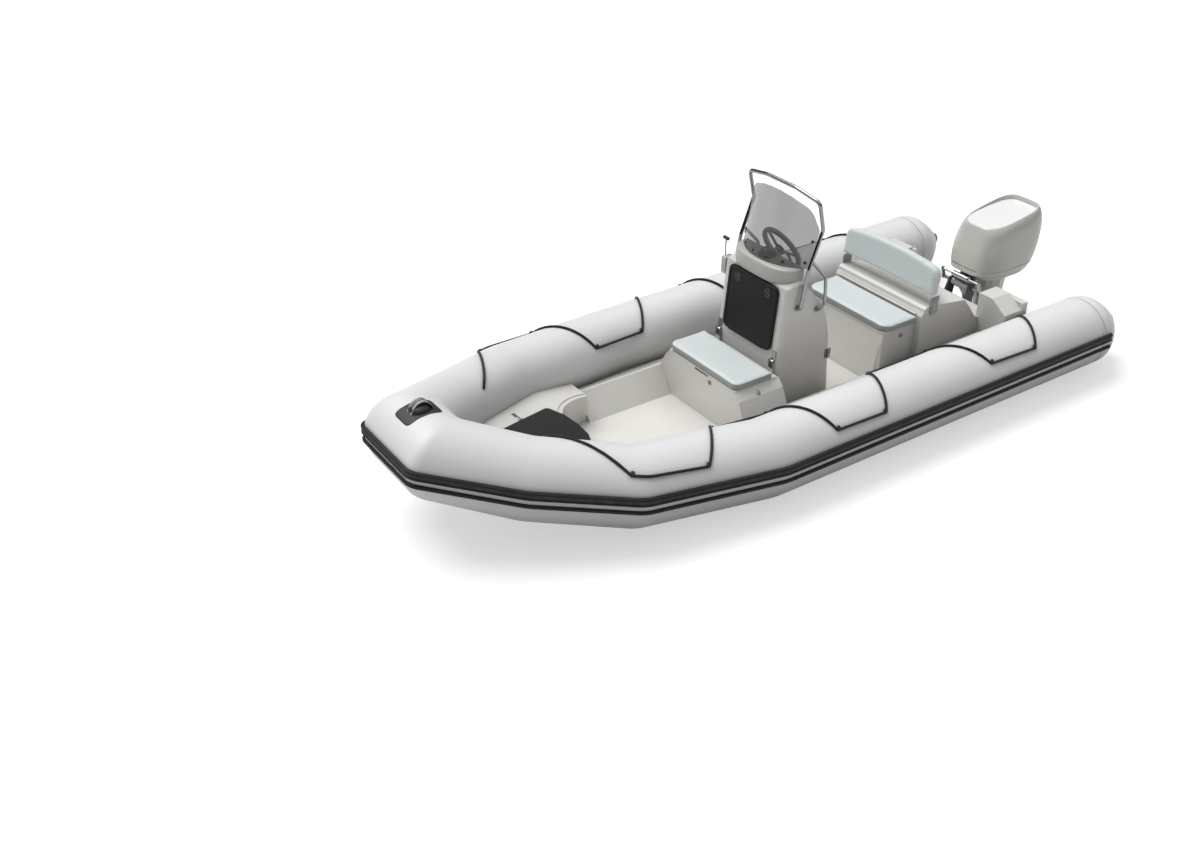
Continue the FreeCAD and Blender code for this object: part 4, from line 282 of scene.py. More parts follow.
def swollen(source, name, settings):
    mesh = source.data.copy()
    piece = bpy.data.objects.new(name, mesh)
    bpy.context.scene.collection.objects.link(piece)
    low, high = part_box(source.name)
    middle = (low + high) / 2
    span = high - low
    for vertex in mesh.vertices:
        for axis in range(3):
            vertex.co[axis] = middle[axis] + (vertex.co[axis] - middle[axis]) * (1 - 2 * swell["inset"] / span[axis])
    bpy.context.view_layer.objects.active = piece
    remesh = piece.modifiers.new("even", "REMESH")
    remesh.mode, remesh.voxel_size = "VOXEL", swell["voxel"]
    bpy.ops.object.select_all(action="DESELECT")
    piece.select_set(True)
    bpy.ops.object.modifier_apply(modifier="even")
    start = [vertex.co.copy() for vertex in piece.data.vertices]
    cloth = piece.modifiers.new("cover", "CLOTH")
    cloth.settings.use_pressure = True
    cloth.settings.uniform_pressure_force = swell["pressure"]
    cloth.settings.effector_weights.gravity = 0
    scene = bpy.context.scene
    scene.frame_start, scene.frame_end = 1, swell["frames"]
    cloth.point_cache.frame_start, cloth.point_cache.frame_end = 1, swell["frames"]
    for frameNumber in range(1, swell["frames"] + 1):
        scene.frame_set(frameNumber)
    bpy.ops.object.modifier_apply(modifier="cover")
    scene.frame_set(1)
    for vertex, rest in zip(piece.data.vertices, start):
        move = vertex.co - rest
        if move.length > swell["cap"]:
            vertex.co = rest + move.normalized() * swell["cap"]
    soften = piece.modifiers.new("soften", "SMOOTH")
    soften.factor, soften.iterations = swell["soften"]
    finer = piece.modifiers.new("finer", "SUBSURF")
    finer.levels = finer.render_levels = 1
    for face in piece.data.polygons:
        face.use_smooth = True
    piece.data.materials.clear()
    piece.data.materials.append(finishes["backVinyl" if "arch" in settings else "seatVinyl"])
    if "arch" in settings:  # the cover's top edge is drawn up along its middle
        for vertex in piece.data.vertices:
            share = max(0, vertex.co.z - low.z) / span.z
            vertex.co.z += settings["arch"] * share * (1 - (vertex.co.y / high.y) ** 2)
    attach(piece, settings["body"])
    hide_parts(source.name)


for nodeName, settings in cushionSettings.items():
    swollen(nodes[nodeName], nodeName + "_cover", settings)
    print("stage:", nodeName, "covered")

# Collar's axis, from the port stern seam round the bow to the starboard one
tube = {"radius": 0.272, "seamX": -2.58, "spacing": 0.948, "low": 0.29, "bends": [
    (0.658, 0.948, 0.29), (1.62834, 0.80485, 0.358), (2.22922, 0.4977, 0.477), (2.688, 0.18496, 0.63)]}
portAxis = [Vector(place) for place in ((tube["seamX"], tube["spacing"], tube["low"]), *tube["bends"])]
wholeAxis = portAxis + [Vector((spot.x, -spot.y, spot.z)) for spot in reversed(portAxis)]
up, unturned = Vector((0, 0, 1)), Matrix.Identity(3)


def bridged(form, rings, caps=(0, -1), paint=None):  # quads between rings of corners, with the rings in caps filled
    rows = [[form.verts.new(spot) for spot in ring] for ring in rings]
    for first, second in zip(rows, rows[1:]):
        for index in range(len(first)):
            after = (index + 1) % len(first)
            face = form.faces.new((first[index], first[after], second[after], second[index]))
            if paint:
                face.material_index = paint[index]
    for index in caps:
        form.faces.new(rows[index])


def spoke(step, steps, one, other):  # the way to one step of a circle
    angle = 2 * math.pi * step / steps
    return one * math.cos(angle) + other * math.sin(angle)


def turnedInto(form, profile, place, axis, steps):  # a profile of (radius, height) turned about an axis at a place
    axis = Vector(axis).normalized()
    side = axis.orthogonal().normalized()
    other = axis.cross(side)
    rings = [[Vector(place) + axis * height + spoke(step, steps, side, other) * radius for step in range(steps)]
             for radius, height in profile]
    bridged(form, rings, [end for end in (0, -1) if profile[end][0] > 0.0001])


def boltInto(form, place, axis, radius, height):
    turnedInto(form, [(radius, 0.0), (radius, height * 0.6), (radius * 0.75, height), (radius * 0.4, height),
                      (radius * 0.36, height * 0.5), (radius * 0.01, height * 0.5)], place, axis, 14)


def slabInto(form, place, turn, size, edge):  # a block with its edges rounded, its middle at a place
    made = bmesh.ops.create_cube(form, size=1.0)["verts"]
    for vertex in made:
        vertex.co = Vector((vertex.co.x * size[0], vertex.co.y * size[1], vertex.co.z * size[2]))
    edges = list(dict.fromkeys(line for vertex in made for line in vertex.link_edges))
    rounded = bmesh.ops.bevel(form, geom=edges, offset=edge, segments=3, profile=0.6, affect="EDGES")["verts"]
    for vertex in dict.fromkeys(made + rounded):
        if vertex.is_valid:
            vertex.co = Vector(place) + turn @ vertex.co


def roundedPath(corners, bend, steps, even=False):  # arcs of radius bend or, if even, of that reach from each corner
    places = [corners[0]]
    for before, corner, after in zip(corners, corners[1:], corners[2:]):
        inward, outward = (corner - before).normalized(), (after - corner).normalized()
        turn = inward.angle(outward)
        reach = min(bend if even else bend * math.tan(turn / 2), 0.45 * (corner - before).length,
                    0.45 * (after - corner).length)
        radius = reach / math.tan(turn / 2)
        centre = corner + (outward - inward).normalized() * (radius / math.cos(turn / 2))
        first, axis = corner - inward * reach - centre, inward.cross(outward).normalized()
        for step in range(steps + 1):
            places.append(centre + Matrix.Rotation(turn * step / steps, 3, axis) @ first)
    places.append(corners[-1])
    headings = []
    for index in range(len(places)):
        before, after = places[max(index - 1, 0)], places[min(index + 1, len(places) - 1)]
        headings.append((after - before).normalized())
    return places, headings


def pipeInto(form, corners, radius, bend, steps):
    places, headings = roundedPath([Vector(corner) for corner in corners], bend, 6)
    side = headings[0].orthogonal().normalized()
    rings = []
    for place, heading in zip(places, headings):
        side = (side - heading * side.dot(heading)).normalized()
        other = heading.cross(side)
        rings.append([place + spoke(step, steps, side, other) * radius for step in range(steps)])
    bridged(form, rings)


def planCorner(index, outward):  # the point beside a bend of the axis, a distance outward of both its lengths
    normals = []
    for start, end in zip(wholeAxis[max(index - 1, 0):index + 1], wholeAxis[max(index, 1):index + 2]):
        run = (end - start).to_2d().normalized()
        normals.append(Vector((-run.y, run.x, 0)))
    mean = sum(normals[1:], normals[0]).normalized()
    return wholeAxis[index] + mean * (outward / mean.dot(normals[0]))


# Rubbing strakes: a wide one with a ribbed channel between two lips, and a narrow one under it
strakeProfiles = {
    "strake_upper": {"low": 0.025, "bend": 0.055, "thin": 0.68, "corners": [
        (-0.012, 0.0), (0.014, 0.0), (0.021, 0.003), (0.0245, 0.008), (0.0245, 0.013), (0.021, 0.0165), (0.0165, 0.018),
        (0.0165, 0.0225), (0.0185, 0.0245), (0.0165, 0.0265), (0.0165, 0.0305), (0.0185, 0.0325), (0.0165, 0.0345),
        (0.0165, 0.0385), (0.0185, 0.0405), (0.0165, 0.0425), (0.021, 0.044), (0.0245, 0.047), (0.0245, 0.052),
        (0.021, 0.057), (0.014, 0.06), (-0.012, 0.06)], "channel": (6, 15)},
    "strake_lower": {"low": -0.036, "bend": 0.055, "thin": 0.62, "corners": [
        (-0.012, 0.0), (0.012, 0.0), (0.02, 0.003), (0.0245, 0.007), (0.0245, 0.009), (0.0215, 0.011), (0.02, 0.013),
        (0.0215, 0.015), (0.0245, 0.017), (0.0245, 0.019), (0.02, 0.023), (0.012, 0.026), (-0.012, 0.026)],
        "channel": (5, 7)},
}
strakeEnd = {"past": 0.016, "tip": 0.012, "inward": 0.008, "thin": 0.5, "split": 50}
for nodeName, settings in strakeProfiles.items():
    line = [planCorner(index, tube["radius"]) for index in range(len(wholeAxis))]
    for end in (0, -1):
        line[end] = line[end] - Vector((strakeEnd["past"], 0, 0))
    places, headings = roundedPath(line, settings["bend"], 10, True)
    tips = [places[end] + Vector((-strakeEnd["tip"], side * strakeEnd["inward"], 0))
            for end, side in ((0, -1), (-1, 1))]
    stations = [(tips[0], headings[0]), *zip(places, headings), (tips[1], headings[-1])]
    form, rings = bmesh.new(), []
    for index, (place, heading) in enumerate(stations):
        outward = Vector((-heading.y, heading.x, 0)).normalized()
        thin = settings["thin"] * (strakeEnd["thin"] if index in (0, len(stations) - 1) else 1.0)
        rings.append([place + outward * out * thin + up * (settings["low"] + rise)
                      for out, rise in settings["corners"]])
    first, last = settings["channel"]
    bridged(form, rings, paint=[1 if first <= index <= last else 0 for index in range(len(settings["corners"]))])
    strake = addPiece(form, nodeName + "_moulding", "strakeRubber", "boat", split=strakeEnd["split"])
    strake.data.materials.append(finishes["strakeChannel"])
    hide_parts(nodeName)
print("stage: strakes moulded")

# Stern cones: the cover swells out of the collar and draws in to its cap
coneCover = {"steps": 72, "split": 40, "profile": [  # radius, length aft of the seam
    (0.272, 0.0), (0.2718, 0.02), (0.2702, 0.04), (0.266, 0.06), (0.258, 0.08), (0.2465, 0.1), (0.22, 0.14),
    (0.19, 0.18), (0.158, 0.22), (0.1225, 0.26), (0.088, 0.29), (0.0735, 0.302), (0.062, 0.32)]}
for side, sideName in ((1, "port"), (-1, "starboard")):
    form = bmesh.new()
    turnedInto(form, coneCover["profile"], (tube["seamX"], side * tube["spacing"], tube["low"]), (-1, 0, 0),
               coneCover["steps"])
    cone = addPiece(form, "cone_cover_" + sideName, "tubeFabric", "boat", split=coneCover["split"])
    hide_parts("stern_cone_" + sideName)

# Collar with softened mitres
cover = {"steps": 112, "reach": 0.055, "arc": 7, "split": 60}


def mitreRing(index):  # the collar's corners round one bend of its axis, or round an open end
    joint = wholeAxis[index]
    before = (joint - wholeAxis[max(index - 1, 0)]).normalized() if index else None
    after = (wholeAxis[min(index + 1, len(wholeAxis) - 1)] - joint).normalized() if index < len(wholeAxis) - 1 else None
    run = before or after
    plane = ((before or after) + (after or before)).normalized()
    side = up.cross(run).normalized()
    ring = []
    for step in range(cover["steps"]):
        radial = spoke(step, cover["steps"], side, run.cross(side)) * tube["radius"]
        ring.append(joint + radial - run * (radial.dot(plane) / run.dot(plane)))
    return ring


# Each line along the collar bends in a short arc, so that its mitres are soft
corners = [mitreRing(0)]
for index in range(1, len(wholeAxis)):
    ring = mitreRing(index)
    run = (wholeAxis[index] - wholeAxis[index - 1]).normalized()
    corners.append([min(ring, key=lambda other: ((other - spot) - run * (other - spot).dot(run)).length)
                    for spot in corners[-1]])
lines = [roundedPath([ring[step] for ring in corners], cover["reach"], cover["arc"], True)[0]
         for step in range(cover["steps"])]
form = bmesh.new()
bridged(form, [[line[place] for line in lines] for place in range(len(lines[0]))])
collar = addPiece(form, "collar_cover", "tubeFabric", "boat", split=cover["split"])
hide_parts("tube_collar")

# Bands over the stern seams
band = {"start": 0.024, "wide": 0.04, "sunk": 0.004, "proud": 0.0006, "steps": 96}
form = bmesh.new()
for side in (1, -1):
    place = (tube["seamX"] + band["start"], side * tube["spacing"], tube["low"])
    inner, outer = tube["radius"] - band["sunk"], tube["radius"] + band["proud"]
    turnedInto(form, [(inner, -0.001), (outer, -0.001), (outer, band["wide"]), (inner, band["wide"])], place, (1, 0, 0),
               band["steps"])
addPiece(form, "stern_seam_bands", "seamTape", "boat")


def onCollar(place, lift):  # the nearest point of the collar's skin, lifted off it
    best = None
    for start, end in zip(wholeAxis, wholeAxis[1:]):
        run = end - start
        share = max(0, min(1, (place - start).dot(run) / run.dot(run)))
        near = start + run * share
        if best is None or (place - near).length < (place - best).length:
            best = near
    return best + (place - best).normalized() * (tube["radius"] + lift)


def loosePlaces(name):  # the middle of each loose part of a node
    form = bmesh.new()
    form.from_mesh(nodes[name].data)
    bmesh.ops.remove_doubles(form, verts=form.verts, dist=0.0001)
    seen, groups = set(), []
    for seed in form.verts:
        if seed in seen:
            continue
        seen.add(seed)
        stack, group = [seed], []
        while stack:
            vertex = stack.pop()
            group.append(nodes[name].matrix_world @ vertex.co)
            for line in vertex.link_edges:
                other = line.other_vert(vertex)
                if other not in seen:
                    seen.add(other)
                    stack.append(other)
        groups.append(sum(group, Vector()) / len(group))
    form.free()
    return groups


def bent(value, power):  # a sine or cosine drawn towards a rounded rectangle
    return math.copysign(abs(value) ** power, value)


# Round patches that carry the studs of the lifelines
patch = {"radius": 0.05, "lift": 0.0016, "rings": 5, "steps": 40, "hem": 0.001}
form = bmesh.new()
for name in ("rope_clips_port", "rope_clips_starboard"):
    for middle in loosePlaces(name):
        skin = onCollar(middle, 0.0)
        outward = (middle - skin if (middle - skin).length > 0.001 else skin - Vector((0, 0, 0.3))).normalized()
        one = outward.orthogonal().normalized()
        two = outward.cross(one)
        rings = []
        for ring in range(patch["rings"] + 1):
            radius = min(patch["radius"] * (ring / patch["rings"]) + patch["hem"], patch["radius"])
            lift = patch["lift"] if ring < patch["rings"] else -patch["hem"]
            rings.append([onCollar(skin + spoke(step, patch["steps"], one, two) * radius, lift)
                          for step in range(patch["steps"])])
        bridged(form, rings, (0,))
addPiece(form, "stud_patches", "seamTape", "boat")
print("stage: collar dressed")

# Lifelines: the braided rope at its full thickness, pressed a little into the tube where it lies on it
lifeline = {"thicker": 0.0038}
for sideName in ("port", "starboard"):
    source = nodes["lifeline_" + sideName]
    form = bmesh.new()
    form.from_mesh(source.data)
    bmesh.ops.remove_doubles(form, verts=form.verts, dist=0.00005)
    bmesh.ops.recalc_face_normals(form, faces=form.faces)
    form.normal_update()
    for vertex, facing in [(vertex, vertex.normal.copy()) for vertex in form.verts]:
        vertex.co += facing * lifeline["thicker"]
    rope = addPiece(form, "rope_" + sideName, "braidBlack", "boat")
    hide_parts(source.name)


def domed(radius, height, foot, angles):  # a dome's profile, for turnedInto
    return [(radius * math.cos(math.radians(angle)) + 0.0001, foot + height * math.sin(math.radians(angle)))
            for angle in angles]


# Bow pad: a rubber patch draped on the collar, with a low dome under the handle, and the handle's striped strap
bowPad = {"middle": 2.712, "long": 0.145, "wide": 0.094, "power": 0.32, "thick": 0.0028, "hem": 0.002, "rings": 14,
          "steps": 56, "above": 0.9, "domeX": 2.70, "dome": (0.07, 0.042, 0.0, range(-20, 91, 10))}
form, rings = bmesh.new(), []
for ring in range(bowPad["rings"] + 1):
    share = min(1.0, (ring + 0.02) / (bowPad["rings"] - 1))
    lift = bowPad["thick"] if ring < bowPad["rings"] else -bowPad["hem"]
    spots = []
    for step in range(bowPad["steps"]):
        angle = 2 * math.pi * step / bowPad["steps"]
        x = bent(math.cos(angle), bowPad["power"]) * bowPad["long"] * share
        y = bent(math.sin(angle), bowPad["power"]) * bowPad["wide"] * share
        spots.append(onCollar(Vector((bowPad["middle"] + x, y, bowPad["above"])), lift))
    rings.append(spots)
bridged(form, rings, (0,))
turnedInto(form, domed(*bowPad["dome"]), onCollar(Vector((bowPad["domeX"], 0, bowPad["above"])), 0.0), up, 40)
pad = addPiece(form, "bow_patch", "capRubber", "boat")
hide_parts("bow_pad")

bowStrap = {"start": 2.612, "end": 2.772, "half": 0.03, "rise": 0.06, "power": 2.4, "thick": 0.004, "steps": 24,
            "bands": (-1, -0.5, -0.42, -0.1, 0.1, 0.42, 0.5, 1), "dark": (2, 4)}
form, rings = bmesh.new(), []
bands = [share * bowStrap["half"] for share in bowStrap["bands"]]
for step in range(bowStrap["steps"] + 1):
    share = step / bowStrap["steps"]
    x = bowStrap["start"] + (bowStrap["end"] - bowStrap["start"]) * share
    foot = onCollar(Vector((x, 0, bowPad["above"])), 0.0).z
    rise = bowStrap["rise"] * (1 - abs(2 * share - 1) ** bowStrap["power"])
    rings.append([Vector((x, y, foot + rise + bowStrap["thick"])) for y in bands]
                 + [Vector((x, y, foot + rise - bowStrap["thick"])) for y in reversed(bands)])
bridged(form, rings, paint=[1 if index in bowStrap["dark"] else 0 for index in range(2 * len(bands))])
handle = addPiece(form, "bow_strap", "strapGrey", "boat", smooth=False)
handle.data.materials.append(finishes["capRubber"])
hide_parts("bow_handle")

# Flange bolts of the rails, and the bolts of the backrest's straps
railFlange = {"face": 0.3473, "middles": ((-0.112, 0.940), (-0.2999, 0.8771)), "circle": 0.0182,
              "bolt": (0.0038, 0.0022)}
strapBolt = {"places": (-1.355, -1.42), "out": 0.4783, "high": 0.6, "bolt": (0.006, 0.004)}
form = bmesh.new()
for side in (1, -1):
    for x, z in railFlange["middles"]:
        for step in range(4):
            angle = math.pi * (0.25 + 0.5 * step)
            boltInto(form, (x + railFlange["circle"] * math.cos(angle), side * railFlange["face"],
                            z + railFlange["circle"] * math.sin(angle)), (0, side, 0), *railFlange["bolt"])
    for x in strapBolt["places"]:
        boltInto(form, (x, side * strapBolt["out"], strapBolt["high"]), (0, side, 0), *strapBolt["bolt"])
addPiece(form, "rail_bolts", "stainless", "boat")

# Rubber fixings of the windscreen
podTop = 1.224
screen = {"high": 0.495, "footRadius": 0.431, "topRadius": 0.563, "front": -0.012, "lean": 0.124, "tilt": 0.02,
          "sunk": 0.001, "fixings": ((0.324, 0.045), (0.342, 0.2), (0.2, 0.03), (0.07, 0.03)),
          "fixing": [(0.0115, 0.0), (0.0115, 0.003), (0.009, 0.0052), (0.004, 0.006), (0.0001, 0.006)]}


def onScreen(y, high, lift):  # a point of the screen's outer face at a height over the pod, and the way it faces
    share = high / screen["high"]
    radius = screen["footRadius"] + (screen["topRadius"] - screen["footRadius"]) * share
    middle = screen["front"] - screen["lean"] * share - radius
    outward = Vector((math.sqrt(radius * radius - y * y), y, 0))
    facing = (outward.normalized() + up * screen["tilt"]).normalized()
    return Vector((middle, 0, podTop + high)) + outward + facing * lift, facing


form = bmesh.new()
for side in (1, -1):
    for y, high in screen["fixings"]:
        turnedInto(form, screen["fixing"], *onScreen(side * y, high, -screen["sunk"]), 20)
addPiece(form, "screen_fixings", "capRubber", "boat")

# Console hatch: two round slam latches near its upper corners and a raised edge; it leans with the console's face
hatch = {"lean": 0.054 / 0.59, "foot": (0.046, 0.085, 0.6), "out": 0.0163, "latch": (0.165, 0.42), "key": 0.008,
         "cup": [(0.036, 0.0), (0.036, 0.004), (0.033, 0.0062), (0.028, 0.0062), (0.0265, 0.0025), (0.0001, 0.0025)],
         "keySize": (0.004, 0.044, 0.016), "rim": (0.258, 0.01, 0.4830, 0.042),
         "rimSection": ((0.0, 0.0), (0.001, 0.0035), (0.006, 0.0042), (0.012, 0.0035), (0.013, 0.0))}
lean = math.atan(hatch["lean"])
faceAlong = Vector((-math.sin(lean), 0, math.cos(lean)))
faceOut = Vector((math.cos(lean), 0, math.sin(lean)))
faceTurn = Matrix((faceOut, Vector((0, 1, 0)), faceAlong)).transposed()
faceFoot = Vector((hatch["foot"][0] - hatch["foot"][1] * math.tan(lean), 0, hatch["foot"][2]))
form = bmesh.new()
for side in (1, -1):
    across, along = hatch["latch"]
    centre = faceFoot + faceAlong * along + Vector((0, side * across, 0)) + faceOut * (hatch["out"] - 0.001)
    turnedInto(form, hatch["cup"], centre, faceOut, 36)
    slabInto(form, centre + faceOut * 0.004 + faceAlong * hatch["key"], faceTurn, hatch["keySize"], 0.0015)
addPiece(form, "hatch_latches", "motorDark", "console_door")


def faceLoop(halfWidth, low, high, corner, steps=8):  # a rounded outline, as offsets across and along the face
    spots = []
    for across, along, start in (
            (halfWidth, high, 0), (-halfWidth, high, 90), (-halfWidth, low, 180), (halfWidth, low, 270)):
        for step in range(steps + 1):
            angle = math.radians(start + 90 * step / steps)
            spots.append((across - math.copysign(corner, across) + corner * math.cos(angle),
                          along + (-corner if along == high else corner) + corner * math.sin(angle)))
    return spots


form, rings = bmesh.new(), []
for inset, lift in hatch["rimSection"]:
    half, low, high, corner = hatch["rim"]
    rings.append([faceFoot + faceOut * (hatch["out"] - 0.0005 + lift) + Vector((0, across, 0)) + faceAlong * along
                  for across, along in faceLoop(half - inset, low + inset, high - inset, corner - inset)])
bridged(form, rings, ())
addPiece(form, "hatch_rim", "hatchBlack", "console_door")

# Instrument pod: rounded in plan, its top edge rolled
pod = {"half": 0.318, "front": 0.0195, "aft": -0.17, "ledge": 0.012, "sill": 1.146, "power": 3.2, "round": 2.2,
       "steps": 40, "split": 48, "rows": [(1.1058, 0.004), (1.11, 0.001), (1.13, 0.0), (1.2, 0.0), (1.21, 0.002),
                                          (1.217, 0.006), (1.2215, 0.012), (1.2238, 0.021)]}


def podRing(level, inset):
    half, front = pod["half"] - inset, pod["front"] - inset
    ring = []
    for step in range(pod["steps"] + 1):
        y = half * math.cos(math.pi * step / pod["steps"])
        bow = (1 - abs(y / half) ** pod["power"]) ** (1 / pod["round"])
        ring.append(Vector((pod["aft"] + pod["ledge"] + (front - pod["aft"] - pod["ledge"]) * bow, y, level)))
    foot = max(level, pod["sill"])
    return ring + [Vector((pod["aft"], -half, foot)), Vector((pod["aft"], half, foot))]


form = bmesh.new()
bridged(form, [podRing(*row) for row in pod["rows"]])
podCover = addPiece(form, "pod_cover", "podGel", "boat", split=pod["split"])
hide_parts("instrument_pod")

# Compass: its bezel on the pod and its domed glass
compass = {"place": (-0.099, 0, podTop), "steps": 48,
           "bezel": [(0.0665, 0.0), (0.068, 0.004), (0.066, 0.012), (0.0585, 0.016), (0.056, 0.013)],
           "glass": [(0.0565, 0.001), (0.0565, 0.014), (0.055, 0.018)], "dome": (0.0535, 0.044, 0.018, range(4, 91, 8))}
form = bmesh.new()
turnedInto(form, compass["bezel"], compass["place"], up, compass["steps"])
addPiece(form, "compass_bezel", "hatchBlack", "boat")
form = bmesh.new()
turnedInto(form, compass["glass"] + domed(*compass["dome"]), compass["place"], up, compass["steps"])
dome = addPiece(form, "compass_dome", "gaugeGlass", "boat")
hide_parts("compass")

# Throttle lever: a stainless arm bent outboard from its hub, with a black grip across its top
throttle = {"hub": (-0.053, -0.391, 1.037), "boss": [(0.024, 0.0), (0.0235, 0.006), (0.02, 0.0085), (0.0001, 0.009)],
            "arm": [(-0.053, -0.396, 1.037), (-0.054, -0.402, 1.10), (-0.058, -0.409, 1.155), (-0.062, -0.409, 1.206)],
            "thick": 0.0048, "bend": 0.05, "gripPlace": (-0.062, -0.412, 1.212),
            "grip": [(0.0001, -0.029), (0.009, -0.029), (0.0125, -0.026), (0.0135, 0.0), (0.0125, 0.024),
                     (0.009, 0.027), (0.0001, 0.027)]}
form = bmesh.new()
turnedInto(form, throttle["boss"], throttle["hub"], (0, -1, 0), 28)
pipeInto(form, throttle["arm"], throttle["thick"], throttle["bend"], 10)
lever = addPiece(form, "throttle_lever", "stainless", "boat")
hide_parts("control_lever")
form = bmesh.new()
turnedInto(form, throttle["grip"], throttle["gripPlace"], (0, -1, 0), 24)
addPiece(form, "throttle_grip", "capRubber", "boat")

# Backrest straps: ribbed webbing plates, narrower at the foot
strap = {"outline": [(-1.437, 0.722), (-1.35, 0.722), (-1.343, 0.70), (-1.352, 0.60), (-1.362, 0.575),
                     (-1.415, 0.575), (-1.428, 0.6)], "inner": 0.4698, "thick": 0.0085, "edge": 0.002}
for side, sideName in ((1, "port"), (-1, "starboard")):
    form = bmesh.new()
    bridged(form, [[Vector((x, side * (strap["inner"] + out), z)) for x, z in strap["outline"]]
                   for out in (0.0, strap["thick"])])
    bmesh.ops.bevel(form, geom=list(form.edges), offset=strap["edge"], segments=2, profile=0.6, affect="EDGES")
    plate = addPiece(form, "backrest_strap_" + sideName, "strapGrey", "boat", smooth=False)
    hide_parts("backrest_bracket_" + sideName)

# Gauges and switches on the pod's aft face
gauges = {"places": (0.2, 0.1, -0.1, -0.2), "x": -0.1705, "z": 1.184, "steps": 36,
          "bezel": [(0.034, -0.004), (0.034, 0.004), (0.031, 0.0065), (0.028, 0.005), (0.027, 0.001)],
          "glass": [(0.0275, 0.0), (0.0272, 0.0022), (0.0136, 0.0034), (0.0001, 0.0036)],
          "switches": (-0.02, 0.0, 0.02), "switchDown": 0.022, "switchOut": 0.003, "switch": (0.012, 0.012, 0.02)}
bezels, glasses = bmesh.new(), bmesh.new()
for y in gauges["places"]:
    turnedInto(bezels, gauges["bezel"], (gauges["x"], y, gauges["z"]), (-1, 0, 0), gauges["steps"])
    turnedInto(glasses, gauges["glass"], (gauges["x"], y, gauges["z"]), (-1, 0, 0), gauges["steps"])
for y in gauges["switches"]:
    slabInto(bezels, (gauges["x"] - gauges["switchOut"], y, gauges["z"] - gauges["switchDown"]), unturned,
             gauges["switch"], 0.002)
addPiece(bezels, "gauge_bezels", "stainless", "boat")
addPiece(glasses, "gauge_faces", "gaugeGlass", "boat")

# Wheel: a cover over its hub
wheel = {"tilt": 63, "middle": (-0.236, 0, 1.24), "sunk": 0.022,
         "boss": [(0.041, 0.0), (0.042, 0.012), (0.04, 0.0165), (0.031, 0.0195), (0.03, 0.0185), (0.0275, 0.0185),
                  (0.018, 0.0215), (0.0001, 0.0225)]}
wheelTilt = math.radians(wheel["tilt"])
wheelAxis = Vector((-math.sin(wheelTilt), 0, math.cos(wheelTilt)))
form = bmesh.new()
turnedInto(form, wheel["boss"], Vector(wheel["middle"]) - wheelAxis * wheel["sunk"], wheelAxis, 48)
addPiece(form, "wheel_boss_cover", "hatchBlack", "wheel")

# Bow locker: a hasp by its hatch and two rings on it
deck = {"slope": 0.18, "foot": (1.19, 0.302), "rings": ((1.822, 0.11), (1.86, -0.2)), "hatchTop": 0.0143,
        "ring": [(0.017, 0.0), (0.017, 0.003), (0.0145, 0.0045), (0.011, 0.0035), (0.0095, 0.001), (0.0001, 0.001)],
        "hasp": (((1.86, -0.27), 0.002, (0.026, 0.056, 0.005), 0.0018),  # its place, lift, size and edge
                 ((1.86, -0.262), 0.006, (0.012, 0.014, 0.012), 0.003))}
deckSlope = math.atan(deck["slope"])
deckUp = Vector((-math.sin(deckSlope), 0, math.cos(deckSlope)))
deckTurn = deckUp.to_track_quat("Z", "X").to_matrix()


def onDeck(x, y, lift):
    return Vector((x, y, deck["foot"][1] + deck["slope"] * (x - deck["foot"][0]) + lift))


form = bmesh.new()
for place, lift, size, edge in deck["hasp"]:
    slabInto(form, onDeck(*place, lift), deckTurn, size, edge)
addPiece(form, "deck_hasp", "stainless", "boat")
form = bmesh.new()
for place in deck["rings"]:
    turnedInto(form, deck["ring"], onDeck(*place, 0) + deckUp * deck["hatchTop"], deckUp, 30)
addPiece(form, "hatch_rings", "stainless", "forward_hatch")

# Hinge plates under the front seat's knuckles
seatHinge = {"out": 0.303, "plate": (0.0645, 0.519), "plateSize": (0.004, 0.044, 0.044), "screwX": 0.0665,
             "screwsOut": (-0.013, 0.013), "screwLevels": (0.508, 0.529), "screw": (0.004, 0.002),
             "pin": [(0.0085, 0.0), (0.0095, 0.001), (0.0095, 0.049), (0.0085, 0.05), (0.0001, 0.05)],
             "pinPlace": (0.0582, 0.551), "pinHalf": 0.025}
plates, screws = bmesh.new(), bmesh.new()
for side in (1, -1):
    out = side * seatHinge["out"]
    x, z = seatHinge["plate"]
    slabInto(plates, (x, out, z), unturned, seatHinge["plateSize"], 0.0012)
    for y in seatHinge["screwsOut"]:
        for z in seatHinge["screwLevels"]:
            boltInto(screws, (seatHinge["screwX"], out + y, z), (1, 0, 0), *seatHinge["screw"])
    x, z = seatHinge["pinPlace"]
    turnedInto(screws, seatHinge["pin"], (x, out - seatHinge["pinHalf"], z), (0, 1, 0), 24)
addPiece(plates, "seat_hinge_plates", "motorDark", "front_seat_lid")
addPiece(screws, "seat_hinge_screws", "stainless", "front_seat_lid")

# A hinge on the console's port side
sideHinge = {"pin": [(0.0055, 0.0), (0.007, 0.001), (0.007, 0.022), (0.0055, 0.023), (0.0001, 0.023)],
             "pinPlace": (-0.452, 0.3475), "pinFeet": (0.434, 0.461, 0.488), "leaves": (-0.468, -0.436),
             "leafPlace": (0.3427, 0.4725), "leafSize": (0.026, 0.0032, 0.078), "screwLevels": (0.447, 0.498),
             "screwOut": 0.344, "screw": (0.0042, 0.002)}
form = bmesh.new()
for z in sideHinge["pinFeet"]:
    turnedInto(form, sideHinge["pin"], (*sideHinge["pinPlace"], z), up, 20)
for x in sideHinge["leaves"]:
    slabInto(form, (x, *sideHinge["leafPlace"]), unturned, sideHinge["leafSize"], 0.001)
    for z in sideHinge["screwLevels"]:
        boltInto(form, (x, sideHinge["screwOut"], z), (0, 1, 0), *sideHinge["screw"])
